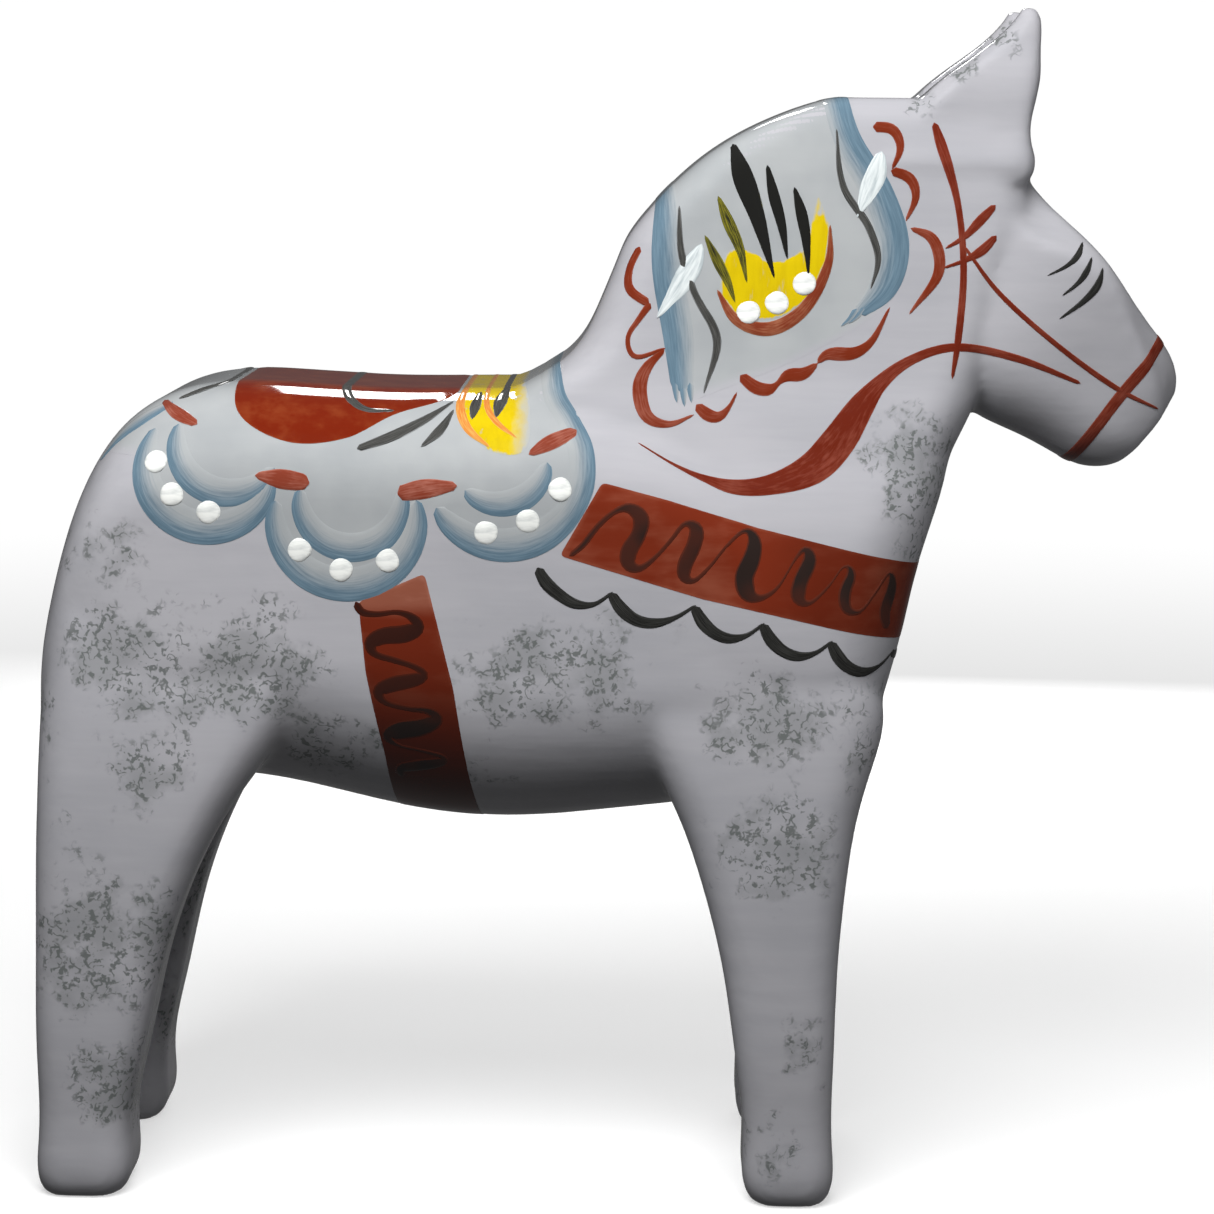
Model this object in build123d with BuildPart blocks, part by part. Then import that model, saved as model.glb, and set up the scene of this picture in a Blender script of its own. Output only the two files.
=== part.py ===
"""Dala horse, 250 mm to the ear tips: three glued pine boards carved as one body, and the paint on them.

Frame: +X is the way the horse faces, +Y its left side, +Z up. The origin is on the floor, under the
middle of the outer box. Units are millimetres.
"""

from build123d import *
import os
from collections import namedtuple
from math import cos, pi, radians, sin

os.makedirs("parts", exist_ok=True)

# --- Driving dimensions -------------------------------------------------------------------------
CENTRE_BOARD = 28.0  # thickness of the middle board, and so the gap between a left and a right leg
LEG_INSIDE = CENTRE_BOARD / 2 + 0.4  # the legs are dressed back this far from the middle plane
PAINT = 0.3  # thickness of the painted strokes
HAIRLINE = 0.4  # the narrowest that a stroke tapers to
HEAD_PITCH = 38.0  # how far the head points below level, in degrees

# --- Carved cross-sections ----------------------------------------------------------------------
# Across is half the width, and corner is the radius that the knife leaves on the section's corners.
Slice = namedtuple("Slice", "at low high across corner")
BarrelSlice = namedtuple("BarrelSlice", "at low high across belly_corner back_corner")
HeadSlice = namedtuple("HeadSlice", "at low high across jaw_corner brow_bevel")

# Barrel, along X: at is x, low and high are the belly and the back.
BARREL = [
    BarrelSlice(-118.8, 88, 112, 26, 10, 10),
    BarrelSlice(-116.6, 84.6, 127.5, 31, 18, 14),
    BarrelSlice(-111.0, 84.2, 146.5, 35.5, 24, 18),
    BarrelSlice(-101.2, 85, 162.2, 38.4, 28, 20),
    BarrelSlice(-88.0, 86.6, 169.8, 39.2, 31, 22),
    BarrelSlice(-70.0, 85.4, 171.0, 39.4, 33, 22),
    BarrelSlice(-45.0, 80.0, 169.9, 39.4, 33, 22),
    BarrelSlice(-20.0, 77.7, 170.2, 39.4, 33, 22),
    BarrelSlice(2.0, 79.8, 168, 39.4, 32, 22),
    BarrelSlice(22.0, 83.0, 159, 39.2, 28, 20),
    BarrelSlice(40.0, 89.0, 143, 36.5, 22, 18),
    BarrelSlice(50.0, 98, 130, 31, 14, 14),
]

# Neck and poll, up Z: at is z, low and high are the crest line and the chest line.
NECK = [
    Slice(100, 12, 56.4, 35, 12),
    Slice(109, 6, 58.0, 38, 14),
    Slice(118, -1, 60.4, 39.2, 16),
    Slice(128, -7, 62.6, 39.3, 17),
    Slice(140, -12, 65.8, 38, 17),
    Slice(152, -15.4, 69.4, 34.5, 15),
    Slice(164, -24.0, 73.8, 30.0, 13),
    Slice(170, -20.6, 76.6, 28.0, 12),
    Slice(174, -13.6, 78.2, 26.8, 11.5),
    Slice(179, -7.6, 80, 25.8, 11),
    Slice(187, -3.2, 82, 24.6, 10),
    Slice(197, 0.8, 84.4, 23.5, 9.5),
    Slice(206, 6.0, 87.0, 22.5, 9),
    Slice(214.9, 14.4, 85.8, 21.5, 9),
    Slice(222.5, 24.6, 85.0, 20.4, 8),
    Slice(227, 33.6, 83.4, 19.2, 7),
    Slice(229.6, 40.5, 80, 17.6, 6),
    Slice(231, 47, 72, 15.4, 5),
]

# Head, along its own axis: at is the distance along it, low and high are the jaw and the brow.
# The knife leaves a flat bevel on each side of the brow: wide below the ears, narrow at the eyes.
HEAD = [
    HeadSlice(-72, 178, 220.6, 19.6, 10, 8.2),
    HeadSlice(-61, 177.2, 221.2, 22.0, 13, 8.4),
    HeadSlice(-48, 177.2, 219.8, 23.8, 14, 4.4),
    HeadSlice(-40, 177.8, 218.4, 23.2, 14, 2.4),
    HeadSlice(-31, 180.0, 215.9, 21.4, 13.5, 3.4),
    HeadSlice(-22, 181.6, 213.9, 19.6, 12.5, 6.0),
    HeadSlice(-15.8, 183.6, 211.9, 17.8, 11, 7.4),
    HeadSlice(-10.8, 189, 207, 14.5, 8, 7.0),
]

# Legs, up Z. Back and front are x; inside and outside are the distance from the middle plane.
LegSlice = namedtuple("LegSlice", "at back front inside outside corner")
FORELEG = [
    LegSlice(0, 32.2, 46.6, 16.0, 36.8, 5),
    LegSlice(2, 30.6, 48.0, 14.8, 38.4, 6),
    LegSlice(12, 29.6, 48.5, LEG_INSIDE, 39.0, 6.5),
    LegSlice(30, 27.9, 48.4, LEG_INSIDE, 39.2, 6.5),
    LegSlice(50, 24.8, 48.8, LEG_INSIDE, 39.6, 7),
    LegSlice(70, 19.6, 50.4, LEG_INSIDE, 40.0, 8),
    LegSlice(82, 15.2, 52.2, LEG_INSIDE, 40.0, 9),
    LegSlice(93, 9.4, 55.2, LEG_INSIDE, 39.7, 10),
    LegSlice(110, 2.0, 56.2, LEG_INSIDE, 38.6, 10),
    LegSlice(128, 0.0, 57.0, LEG_INSIDE, 36, 10),
]
HIND_LEG = [
    LegSlice(0, -117.8, -102.4, 16.0, 36.8, 5),
    LegSlice(2, -119.0, -100.6, 14.8, 38.4, 6),
    LegSlice(12, -119.3, -99.8, LEG_INSIDE, 39.0, 6.5),
    LegSlice(30, -119.4, -97.0, LEG_INSIDE, 39.2, 6.5),
    LegSlice(52, -119.3, -92.0, LEG_INSIDE, 39.6, 7),
    LegSlice(70, -119.1, -85.4, LEG_INSIDE, 40.0, 8),
    LegSlice(85, -118.8, -77.0, LEG_INSIDE, 40.0, 9),
    LegSlice(100, -118.4, -66.0, LEG_INSIDE, 39.6, 11),
    LegSlice(118, -116.8, -60.0, LEG_INSIDE, 38.0, 11),
    LegSlice(136, -113.0, -60.0, LEG_INSIDE, 34.5, 9.5),
]

# Ears, up Z. Each is a blade whose faces lean together towards the tip. The bevel runs up the back
# edge, where the crest's corner goes on into the ear.
EarSlice = namedtuple("EarSlice", "at back front inside outside corner bevel")
EAR = [
    EarSlice(214, 51.0, 85.4, 0.8, 20.8, 3, 3),
    EarSlice(222, 55.2, 85.9, 1.6, 20.4, 3, 3),
    EarSlice(231, 63.2, 86.7, 3.4, 19.4, 3, 3.4),
    EarSlice(240, 74.3, 87.5, 6.4, 17.8, 2.6, 3.2),
    EarSlice(245.6, 80.9, 87.6, 8.0, 16.6, 2.2, 2.6),
    EarSlice(248.2, 83.0, 87.1, 9.2, 15.8, 1.8, 1.8),
    EarSlice(249.6, 83.8, 86.0, 10.6, 14.8, 0.8, 0.8),
]
BEVEL_GROWTH = 2 - 2**0.5  # how much a bevel lengthens when its section is moved out by one


def carved_blank(grow=0.0):
    """The whole carved body as one solid, with every surface moved out by grow."""
    pitch = radians(HEAD_PITCH)
    forward = Vector(cos(pitch), 0, -sin(pitch))
    with BuildPart() as blank:
        for s in BARREL:
            with BuildSketch(Plane.YZ.offset(s.at + (grow if s.at > 0 else -grow))) as section:
                with Locations((0, (s.low + s.high) / 2)):
                    Rectangle(2 * (s.across + grow), s.high - s.low + 2 * grow)
                fillet(section.vertices().sort_by(Axis.Y)[:2], s.belly_corner + grow)
                fillet(section.vertices().sort_by(Axis.Y)[-2:], s.back_corner + grow)
        loft()
        for s in NECK:
            with BuildSketch(Plane.XY.offset(s.at + grow)):
                with Locations(((s.low + s.high) / 2, 0)):
                    RectangleRounded(s.high - s.low + 2 * grow, 2 * (s.across + grow), s.corner + grow)
        loft()
        for s in HEAD:
            plane = Plane(origin=forward * (s.at + grow), x_dir=(0, 1, 0), z_dir=forward)
            with BuildSketch(plane) as section:
                with Locations((0, (s.low + s.high) / 2)):
                    Rectangle(2 * (s.across + grow), s.high - s.low + 2 * grow)
                fillet(section.vertices().sort_by(Axis.Y)[:2], s.jaw_corner + grow)
                chamfer(section.vertices().sort_by(Axis.Y)[-2:], s.brow_bevel + BEVEL_GROWTH * grow)
        loft()
        for side in (-1, 1):
            for limb in (FORELEG, HIND_LEG):
                for s in limb:
                    with BuildSketch(Plane.XY.offset(s.at)):
                        with Locations(((s.back + s.front) / 2, side * (s.inside + s.outside) / 2)):
                            length = s.front - s.back + 2 * grow
                            width = s.outside - s.inside + 2 * grow
                            RectangleRounded(length, width, s.corner + grow)
                loft()
            for s in EAR:
                with BuildSketch(Plane.XY.offset(s.at + grow)) as section:
                    with Locations(((s.back + s.front) / 2, side * (s.inside + s.outside) / 2)):
                        Rectangle(s.front - s.back + 2 * grow, s.outside - s.inside + 2 * grow)
                    chamfer(section.vertices().sort_by(Axis.X)[:2], s.bevel + BEVEL_GROWTH * grow)
                    fillet(section.vertices().sort_by(Axis.X)[-2:], s.corner + grow)
            loft()
    return blank


# --- Wood: three boards, glued face to face and then carved ---------------------------------------
blank = carved_blank()
BEYOND = 300  # longer than the horse, for cutting blocks

with BuildPart() as centre_board:
    add(blank.part)
    Box(BEYOND, CENTRE_BOARD, 2 * BEYOND, mode=Mode.INTERSECT)
centre_board.part.label = "centre_board"
export_step(centre_board.part, "parts/centre_board.step")

for name, side in (("right_board", -1), ("left_board", 1)):
    with BuildPart() as side_board:
        add(blank.part)
        with Locations((0, side * (CENTRE_BOARD + BEYOND) / 2, 0)):
            Box(BEYOND, BEYOND, 2 * BEYOND, mode=Mode.INTERSECT)
    side_board.part.label = name
    export_step(side_board.part, f"parts/{name}.step")

# --- Paint: shapes seen from the side, as (x, z) ----------------------------------------------------
# Every shape is painted on both sides, and it wraps over the back, crest, chest, belly or muzzle
# where it reaches past that edge.


def brush(*stations):
    """Add one brush stroke to the open sketch. A station is (x, z, breadth) on its middle line."""
    spine = [Vector(x, z) for x, z, _ in stations]
    last = len(spine) - 1
    above = []
    below = []
    for i, (_, _, breadth) in enumerate(stations):
        along = (spine[min(i + 1, last)] - spine[max(i - 1, 0)]).normalized()
        across = Vector(-along.Y, along.X) * max(breadth, HAIRLINE) / 2
        above.append(spine[i] + across)
        below.append(spine[i] - across)
    with BuildLine(Plane.XY) as outline:
        Spline(*above)
        Spline(*below)
        Line(above[0], below[0])
        Line(above[-1], below[-1])
    make_face(outline.edges())


def bow(centre, radius, start, end, breadth):
    """Add a stroke along an arc, from start to end degrees, that swells to breadth in its middle."""
    steps = 8
    stations = []
    for i in range(steps + 1):
        turn = radians(start + (end - start) * i / steps)
        swell = 0.35 + 0.65 * sin(pi * i / steps)
        stations.append((centre[0] + radius * cos(turn), centre[1] + radius * sin(turn), breadth * swell))
    brush(*stations)


def zigzag(turns, thick, thin):
    """Add strokes through the turning points, by turns thin and thick, as a pressed brush leaves them."""
    for i, (a, b) in enumerate(zip(turns, turns[1:])):
        breadth = thick if i % 2 else thin
        end = 0.6 * breadth
        brush((*a, end), ((a[0] + b[0]) / 2, (a[1] + b[1]) / 2, breadth), (*b, end))


def patch(*corners):
    """Add a patch with straight edges to the open sketch."""
    with BuildLine(Plane.XY) as outline:
        Polyline(*corners, close=True)
    make_face(outline.edges())


def blot(*points):
    """Add a patch with one smooth closed edge to the open sketch."""
    with BuildLine(Plane.XY) as outline:
        Spline(*points, periodic=True)
    make_face(outline.edges())


shapes = {}  # in the order of painting: what comes later covers what came earlier

# Chest band: a broad red strap across the shoulders and round the chest.
with BuildSketch() as shapes["chest_band"]:
    upper_edge = [(-10, 138), (-1.5, 153), (12, 149.5), (30, 144), (58, 137.5), (90, 129)]
    patch(*upper_edge, (90, 112), (58, 121), (19, 129.5))

# Dark wave along the chest band, and the dark scalloped fringe that hangs below it.
CHEST_TURNS = [(-8, 137.5), (4.5, 147.5), (4.5, 135.5), (17, 144.5), (15, 133), (29, 143.5), (28, 130)]
CHEST_TURNS += [(41, 139.5), (39.5, 128), (50, 137.5), (48.5, 126), (58, 135), (57, 123.5)]
with BuildSketch() as shapes["chest_wave"]:
    zigzag(CHEST_TURNS, 3.0, 0.9)
FRINGE_TOPS = [(-14.5, 135.5), (0.5, 130.5), (17.5, 128), (31.5, 124.5), (45.5, 121), (58.5, 117.5)]
FRINGE_DROP = 5.0  # how far a scallop hangs below the line between its ends
with BuildSketch() as shapes["chest_fringe"]:
    for (x0, z0), (x1, z1) in zip(FRINGE_TOPS, FRINGE_TOPS[1:]):
        reach = x1 - x0
        brush(
            (x0, z0, 1.0),
            (x0 + 0.22 * reach, z0 - 0.9 * FRINGE_DROP, 2.5),
            (x0 + 0.50 * reach, (z0 + z1) / 2 - FRINGE_DROP, 2.0),
            (x0 + 0.78 * reach, z1 - 0.55 * FRINGE_DROP, 1.0),
            (x1, z1, 0.6),
        )
    brush((58.5, 117.5, 0.6), (62, 115.2, 2.4), (70, 114.6, 2.4), (80, 114.5, 2.4))

# Girth band round the belly, with a dark wave down it.
with BuildSketch() as shapes["girth_band"]:
    patch((-52, 128), (-50, 113.5), (-46, 96), (-43, 70), (-25, 70), (-29, 90), (-31.5, 110), (-37.5, 134))
GIRTH_TURNS = [(-51, 127), (-38.5, 124.5), (-48.5, 119), (-36.5, 113.5), (-47, 109.5), (-34.5, 105)]
GIRTH_TURNS += [(-45, 100), (-33, 95.5), (-43, 91), (-32.5, 87.5)]
with BuildSketch() as shapes["girth_wave"]:
    zigzag(GIRTH_TURNS, 2.8, 0.9)

# Saddle cloth: a pale wash over the back that ends in three lobes on each flank.
REAR_LOBE = (-81.5, 156.0)
MIDDLE_LOBE = (-53.5, 146.0)
FRONT_LOBE = (-21.5, 156.0)
with BuildSketch() as shapes["saddle_cloth"]:
    patch((-106, 156), (-106, 190), (-13, 190), (-8, 164), (-20, 150), (-66, 142), (-97, 156))
    for lobe, radius in ((REAR_LOBE, 16), (MIDDLE_LOBE, 17.5), (FRONT_LOBE, 19)):
        with Locations(lobe):
            Circle(radius)

# Blue arcs: each lobe has an outer and an inner one, and the cloth's two ends have a straight stroke.
with BuildSketch() as shapes["saddle_arcs"]:
    bow(REAR_LOBE, 14, 160, 346, 5.2)
    bow(MIDDLE_LOBE, 15.2, 170, 372, 5.4)
    bow(FRONT_LOBE, 16.8, 212, 350, 5.0)
    bow((-77.5, 161), 12, 168, 328, 4.0)
    bow((-52.5, 149.5), 11.5, 172, 368, 3.6)
    bow((-22, 158.5), 10.5, 214, 362, 3.2)
    brush((-4.9, 153, 4.6), (-4.6, 159, 4.4), (-7.5, 164.5, 4.1), (-11, 169, 4.1), (-13, 176, 4.0))
    brush((-106, 156, 2.6), (-100, 162.8, 3.6), (-92.5, 166.6, 2.0))

# The saddle's flower: a red drop along the back, and a yellow tulip with orange petal edges.
with BuildSketch() as shapes["saddle_drop"]:
    with BuildLine() as drop_edge:
        Spline((-26.5, 176), (-32, 169.5), (-44.5, 165.5), (-54, 161), (-66, 160.3), (-76.5, 166), (-78, 176))
        Line((-78, 176), (-26.5, 176))
    make_face(drop_edge.edges())
with BuildSketch() as shapes["saddle_tulip"]:
    blot((-31, 168), (-29, 172.5), (-19, 172.5), (-16.5, 166), (-17.5, 159), (-23, 158.5), (-28.5, 162.5))
with BuildSketch() as shapes["saddle_tulip_edges"]:
    brush((-28.5, 173, 1.4), (-30, 168, 2.0), (-28.5, 163.5, 2.2), (-23.5, 159.5, 0.6))
    brush((-25.5, 173, 0.8), (-25.5, 168, 1.6), (-22.8, 164.5, 1.8), (-18.5, 161.5, 0.5))
with BuildSketch() as shapes["saddle_veins"]:
    brush((-59.5, 174, 1.0), (-55.8, 171, 2.0), (-54, 168.4, 2.3), (-50.5, 166.4, 1.9), (-44.5, 166.2, 0.8))
    brush((-89.5, 169.3, 1.0), (-83, 172, 1.4), (-77, 174, 0.6))
    brush((-51.5, 159, 1.2), (-44.5, 161.5, 2.3), (-38, 164.7, 2.0), (-32.5, 168, 0.5))
    brush((-38.5, 159.5, 0.6), (-35, 162.5, 2.0), (-32.3, 166.5, 0.5))
    brush((-27.7, 169.5, 0.8), (-28.3, 167, 1.6), (-27.8, 164.5, 0.5))
    brush((-22, 170.8, 1.2), (-22.9, 168, 2.0), (-21, 164.5, 0.5))
with BuildSketch() as shapes["saddle_dashes"]:
    brush((-92.5, 167.2, 1.4), (-88.5, 165, 3.0), (-84.5, 163.3, 1.4))
    brush((-71.5, 153.5, 1.4), (-67, 153, 4.0), (-61.5, 152, 2.6))
    brush((-43, 150.5, 2.4), (-37.5, 151.5, 4.0), (-31.5, 152, 2.0))
    brush((-16.5, 158.5, 1.1), (-12.5, 160.5, 3.4), (-7.5, 163, 2.2))
with BuildSketch() as shapes["saddle_dots"]:
    with Locations((-92.5, 156), (-89, 149.5), (-81.5, 146), (-63, 138.5), (-54.5, 134.5), (-45, 136.5)):
        Circle(2.5)
    with Locations((-25, 142.5), (-16.5, 145), (-10, 151.5)):
        Circle(2.5)

# Mane panel: a pale wash between two blue strokes, over the crest.
with BuildSketch() as shapes["mane_wash"]:
    with BuildLine() as wash_edge:
        Spline((14, 170), (11.8, 178), (10.2, 188), (9.4, 200), (9.4, 222))
        Line((9.4, 222), (46, 240))
        Spline((46, 240), (51, 223), (58.5, 211.5), (61, 200), (57, 189.5), (41, 179), (22, 172), (14, 170))
    make_face(wash_edge.edges())
with BuildSketch() as shapes["mane_blue"]:
    brush((9.8, 219, 2.9), (9.8, 208, 3.0), (10, 196, 3.4), (12.3, 180, 3.9), (15, 170, 3.0))
    brush((45, 236, 3.6), (48.5, 223.5, 4.1), (55.5, 212, 4.6), (58.8, 199.5, 4.4), (53, 188, 1.5))
with BuildSketch() as shapes["mane_veins"]:
    brush((13.5, 208.5, 0.4), (14, 199, 1.4), (17, 190.5, 1.4), (21.6, 181.5, 1.6), (19, 170.5, 0.4))
    brush((45.5, 224.5, 0.4), (47, 213, 1.2), (52.5, 204.5, 1.4), (54.5, 198, 1.3), (53, 192, 0.4))
with BuildSketch() as shapes["mane_curls"]:
    brush((5.5, 200, 1.2), (3.4, 195.5, 2.0), (3.4, 191.5, 2.0), (7.5, 188.5, 0.9))
    brush((7.5, 188.5, 0.7), (3.2, 181.5, 1.1), (4.5, 177.7, 1.1), (11, 179.5, 0.6))
    brush((10.5, 179, 0.8), (5.8, 171.5, 2.9), (7.5, 164.8, 2.4), (17, 166, 0.4))
    brush((18, 168.5, 1.8), (21.2, 166, 2.2), (23.6, 166.4, 1.3), (26, 170.5, 0.4))
    brush((27, 174, 2.0), (30.5, 171.2, 2.4), (33, 172.2, 1.2), (35.5, 174.8, 1.6))
    brush((35.5, 174.8, 1.6), (39, 174.4, 2.1), (43, 178.8, 1.1))
    brush((43, 178.8, 1.3), (48, 178.6, 2.2), (53.5, 182, 1.3), (57.5, 190, 0.4))
    brush((53, 225, 2.0), (57, 224.6, 2.0), (58.7, 221, 1.5), (57, 216.5, 0.5))
    brush((57, 216, 1.8), (60.8, 214.6, 2.0), (62, 211, 1.4), (60, 206, 0.5))
    brush((61, 204.5, 0.8), (65.5, 202.5, 2.0), (67, 196, 1.9), (61, 187, 0.4))

# The mane's flower: a yellow cup in a red crescent, with dark petals and a row of dots.
with BuildSketch() as shapes["mane_cup"]:
    with BuildLine() as cup_edge:
        Spline((22, 190.5), (22.5, 197.5), (25, 200), (29, 199), (33, 197.3), (38.5, 199.7), (42, 211))
        Spline((42, 211), (44.5, 203), (41, 192), (34, 186), (25.5, 186.8), (22, 190.5))
    make_face(cup_edge.edges())
with BuildSketch() as shapes["mane_crescent"]:
    lower_curve = [(21.5, 191.5, 0.6), (25.3, 185.6, 2.1), (32, 183.6, 2.7), (39, 187.4, 2.4)]
    brush(*lower_curve, (44.2, 197, 1.7), (44.5, 205, 0.4))
with BuildSketch() as shapes["mane_petals"]:
    brush((24.5, 220.5, 1.6), (26.5, 214.5, 4.1), (29.5, 206.5, 3.0), (33, 195, 0.4))
    brush((31.5, 216.5, 0.8), (32.8, 211, 2.2), (34.5, 205, 1.8), (35.5, 199, 0.4))
    brush((37, 212, 0.7), (38.5, 207.5, 2.2), (39.6, 202, 1.8), (40, 195, 0.4))
    brush((21.5, 210, 0.7), (23.5, 205.5, 2.2), (26, 200, 1.8), (27.5, 193.5, 0.4))
    brush((19, 202, 0.6), (21.4, 197.5, 2.0), (23.6, 193.3, 1.6), (25, 189.5, 0.4))
with BuildSketch() as shapes["mane_leaves"]:
    brush((17.5, 200.5, 0.4), (16, 196, 2.3), (13.5, 191.5, 2.8), (10, 186.5, 0.4))
    brush((54.5, 219.5, 0.7), (53.6, 215, 2.9), (52, 211, 2.7), (50, 207, 0.4))
with BuildSketch() as shapes["mane_dots"]:
    with Locations((28, 187), (33.5, 189), (39, 193)):
        Circle(2.4)

# Bridle: crown strap, two leaves, cheek strap, rein, noseband and the lashes of the eye.
with BuildSketch() as shapes["bridle_straps"]:
    crown_strap = [(65.5, 226, 0.8), (67, 221.5, 2.0), (70.5, 210, 1.2), (72, 196, 1.3)]
    brush(*crown_strap, (71, 181, 1.3), (70, 175, 0.6))
    brush((72, 201, 0.6), (79, 192, 1.0), (91, 181.5, 1.0), (105.5, 171.5, 1.0), (114, 167.5, 0.5))
    brush((78, 209, 1.0), (75.3, 206.3, 1.8), (72, 202.8, 1.0), (68.5, 200.5, 0.4))
    brush((78.3, 203, 1.0), (75.8, 200.2, 1.8), (72, 198, 0.9), (68, 196.5, 0.4))
with BuildSketch() as shapes["rein"]:
    brush(
        (5, 160.5, 0.4),
        (18, 154, 2.4),
        (30, 152.8, 6.0),
        (41, 159, 7.8),
        (50, 169, 6.0),
        (60, 177.2, 2.8),
        (71, 180.6, 1.8),
        (84, 178, 1.5),
        (97, 173, 0.8),
    )
with BuildSketch() as shapes["noseband"]:
    brush((118.5, 187, 2.6), (112, 178.2, 2.6), (105, 169.5, 2.5), (98.5, 160, 2.5), (93, 151, 2.5))
with BuildSketch() as shapes["eye_lashes"]:
    brush((96.5, 201.7, 0.5), (95, 199.3, 1.1), (91.5, 196, 0.4))
    brush((98, 198.7, 0.5), (96.8, 195.6, 1.2), (94.5, 192.8, 0.4))
    brush((100.5, 196.7, 0.5), (99.2, 192.6, 1.4), (95, 188.5, 0.4))

# The skin that every painted shape is cut from: the space between the wood and a slightly larger copy.
with BuildPart() as coat:
    add(carved_blank(grow=PAINT).part)
    add(blank.part, mode=Mode.SUBTRACT)

order = list(shapes)
for place, name in enumerate(order):
    with BuildPart() as film:
        with BuildSketch(Plane.XZ):
            add(shapes[name].sketch_local)
            for cover in order[place + 1 :]:
                add(shapes[cover].sketch_local, mode=Mode.SUBTRACT)
        extrude(amount=BEYOND, both=True)
        add(coat.part, mode=Mode.INTERSECT)
    film.part.label = name
    export_step(film.part, f"parts/{name}.step")
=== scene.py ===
"""Dala horse: the carved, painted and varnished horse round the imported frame. Units are metres.

The wood is one smooth carved skin cut where its three boards meet. Every painted film of the frame
is replaced by real brush strokes that lie on that skin.
"""
import math
import random

import bmesh
import bpy
import numpy as np
from mathutils import Matrix, Vector, geometry
from mathutils.bvhtree import BVHTree
from mathutils.kdtree import KDTree


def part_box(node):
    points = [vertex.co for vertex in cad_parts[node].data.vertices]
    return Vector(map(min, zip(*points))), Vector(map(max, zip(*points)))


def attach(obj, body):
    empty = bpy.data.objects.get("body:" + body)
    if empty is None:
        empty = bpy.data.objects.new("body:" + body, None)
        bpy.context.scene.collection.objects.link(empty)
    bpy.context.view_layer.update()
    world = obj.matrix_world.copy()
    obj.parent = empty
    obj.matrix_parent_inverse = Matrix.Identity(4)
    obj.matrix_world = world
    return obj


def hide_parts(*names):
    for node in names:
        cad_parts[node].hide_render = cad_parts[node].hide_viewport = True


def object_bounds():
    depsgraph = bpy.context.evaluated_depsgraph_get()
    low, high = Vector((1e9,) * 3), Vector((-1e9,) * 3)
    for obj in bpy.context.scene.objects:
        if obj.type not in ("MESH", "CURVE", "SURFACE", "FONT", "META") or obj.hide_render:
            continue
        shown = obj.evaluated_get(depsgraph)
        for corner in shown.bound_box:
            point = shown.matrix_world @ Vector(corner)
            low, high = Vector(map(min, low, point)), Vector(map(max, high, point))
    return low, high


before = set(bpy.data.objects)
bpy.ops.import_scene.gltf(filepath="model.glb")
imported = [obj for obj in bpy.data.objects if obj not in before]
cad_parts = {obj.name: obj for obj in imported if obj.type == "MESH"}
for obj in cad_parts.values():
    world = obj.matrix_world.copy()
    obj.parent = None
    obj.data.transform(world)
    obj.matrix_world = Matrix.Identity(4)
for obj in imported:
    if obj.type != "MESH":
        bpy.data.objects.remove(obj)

MM = 0.001
cad_low, cad_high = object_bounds()

# --- Camera ---
CAMERA_AT = Vector((0.0075, -0.690, 0.225))
CAMERA_AIM = Vector((-0.0007, 0.0, 0.1217))
CAMERA_LENS = 95.7
CAMERA_ROLL = math.radians(0.654)
CAMERA_SENSOR = 36  # millimetres, as the lens


def add_camera():
    data = bpy.data.cameras.new("camera")
    data.lens = CAMERA_LENS
    data.sensor_width = CAMERA_SENSOR
    data.clip_start = 0.01
    data.clip_end = 20
    camera = bpy.data.objects.new("camera", data)
    bpy.context.scene.collection.objects.link(camera)
    aim = (CAMERA_AIM - CAMERA_AT).to_track_quat("-Z", "Y").to_matrix().to_4x4()
    camera.matrix_world = Matrix.Translation(CAMERA_AT) @ aim @ Matrix.Rotation(CAMERA_ROLL, 4, "Z")
    bpy.context.scene.camera = camera


add_camera()

# --- Carved skin ---
BOARDS = ("centre_board", "right_board", "left_board")
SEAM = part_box("centre_board")[1].y  # the glue planes lie this far from the middle
LET_IN = 0.3 * MM  # how far the middle board reaches into the outer ones while they are joined
VOXEL = 0.9 * MM
EARS = (0.218, 0.232)  # heights between which the smoothing weakens, up to the ears
SOLES = (0.001, 0.006)  # and down to the soles
SMOOTHING = (0.6, -0.57)  # each round shrinks the bumps, then swells the shape back
ROUNDS = 45


def mesh_object(name, mesh):
    piece = bpy.data.objects.new(name, mesh)
    bpy.context.scene.collection.objects.link(piece)
    return piece


def joined_boards():
    """The three boards in one mesh, with the middle one let a little into the outer ones."""
    bm = bmesh.new()
    for node in BOARDS:
        bm.from_mesh(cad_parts[node].data)
        if node == "centre_board":
            for v in bm.verts:
                if abs(abs(v.co.y) - SEAM) < 0.01 * MM:
                    v.co.y *= 1 + LET_IN / SEAM
    mesh = bpy.data.meshes.new("boards")
    bm.to_mesh(mesh)
    bm.free()
    return mesh


def remeshed(mesh):
    source = mesh_object("remesh_source", mesh)
    remesh = source.modifiers.new("remesh", "REMESH")
    remesh.mode = "VOXEL"
    remesh.voxel_size = VOXEL
    depsgraph = bpy.context.evaluated_depsgraph_get()
    result = bpy.data.meshes.new_from_object(source.evaluated_get(depsgraph))
    bpy.data.objects.remove(source)
    return result


def smoothstep(low, high, x):
    t = np.clip((x - low) / (high - low), 0, 1)
    return t * t * (3 - 2 * t)


def read(items, name, width=1, kind=np.float32):
    """One property of all the items in an array, with a row for each item."""
    values = np.empty(len(items) * width, kind)
    items.foreach_get(name, values)
    return values.reshape(-1, width) if width > 1 else values


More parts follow.
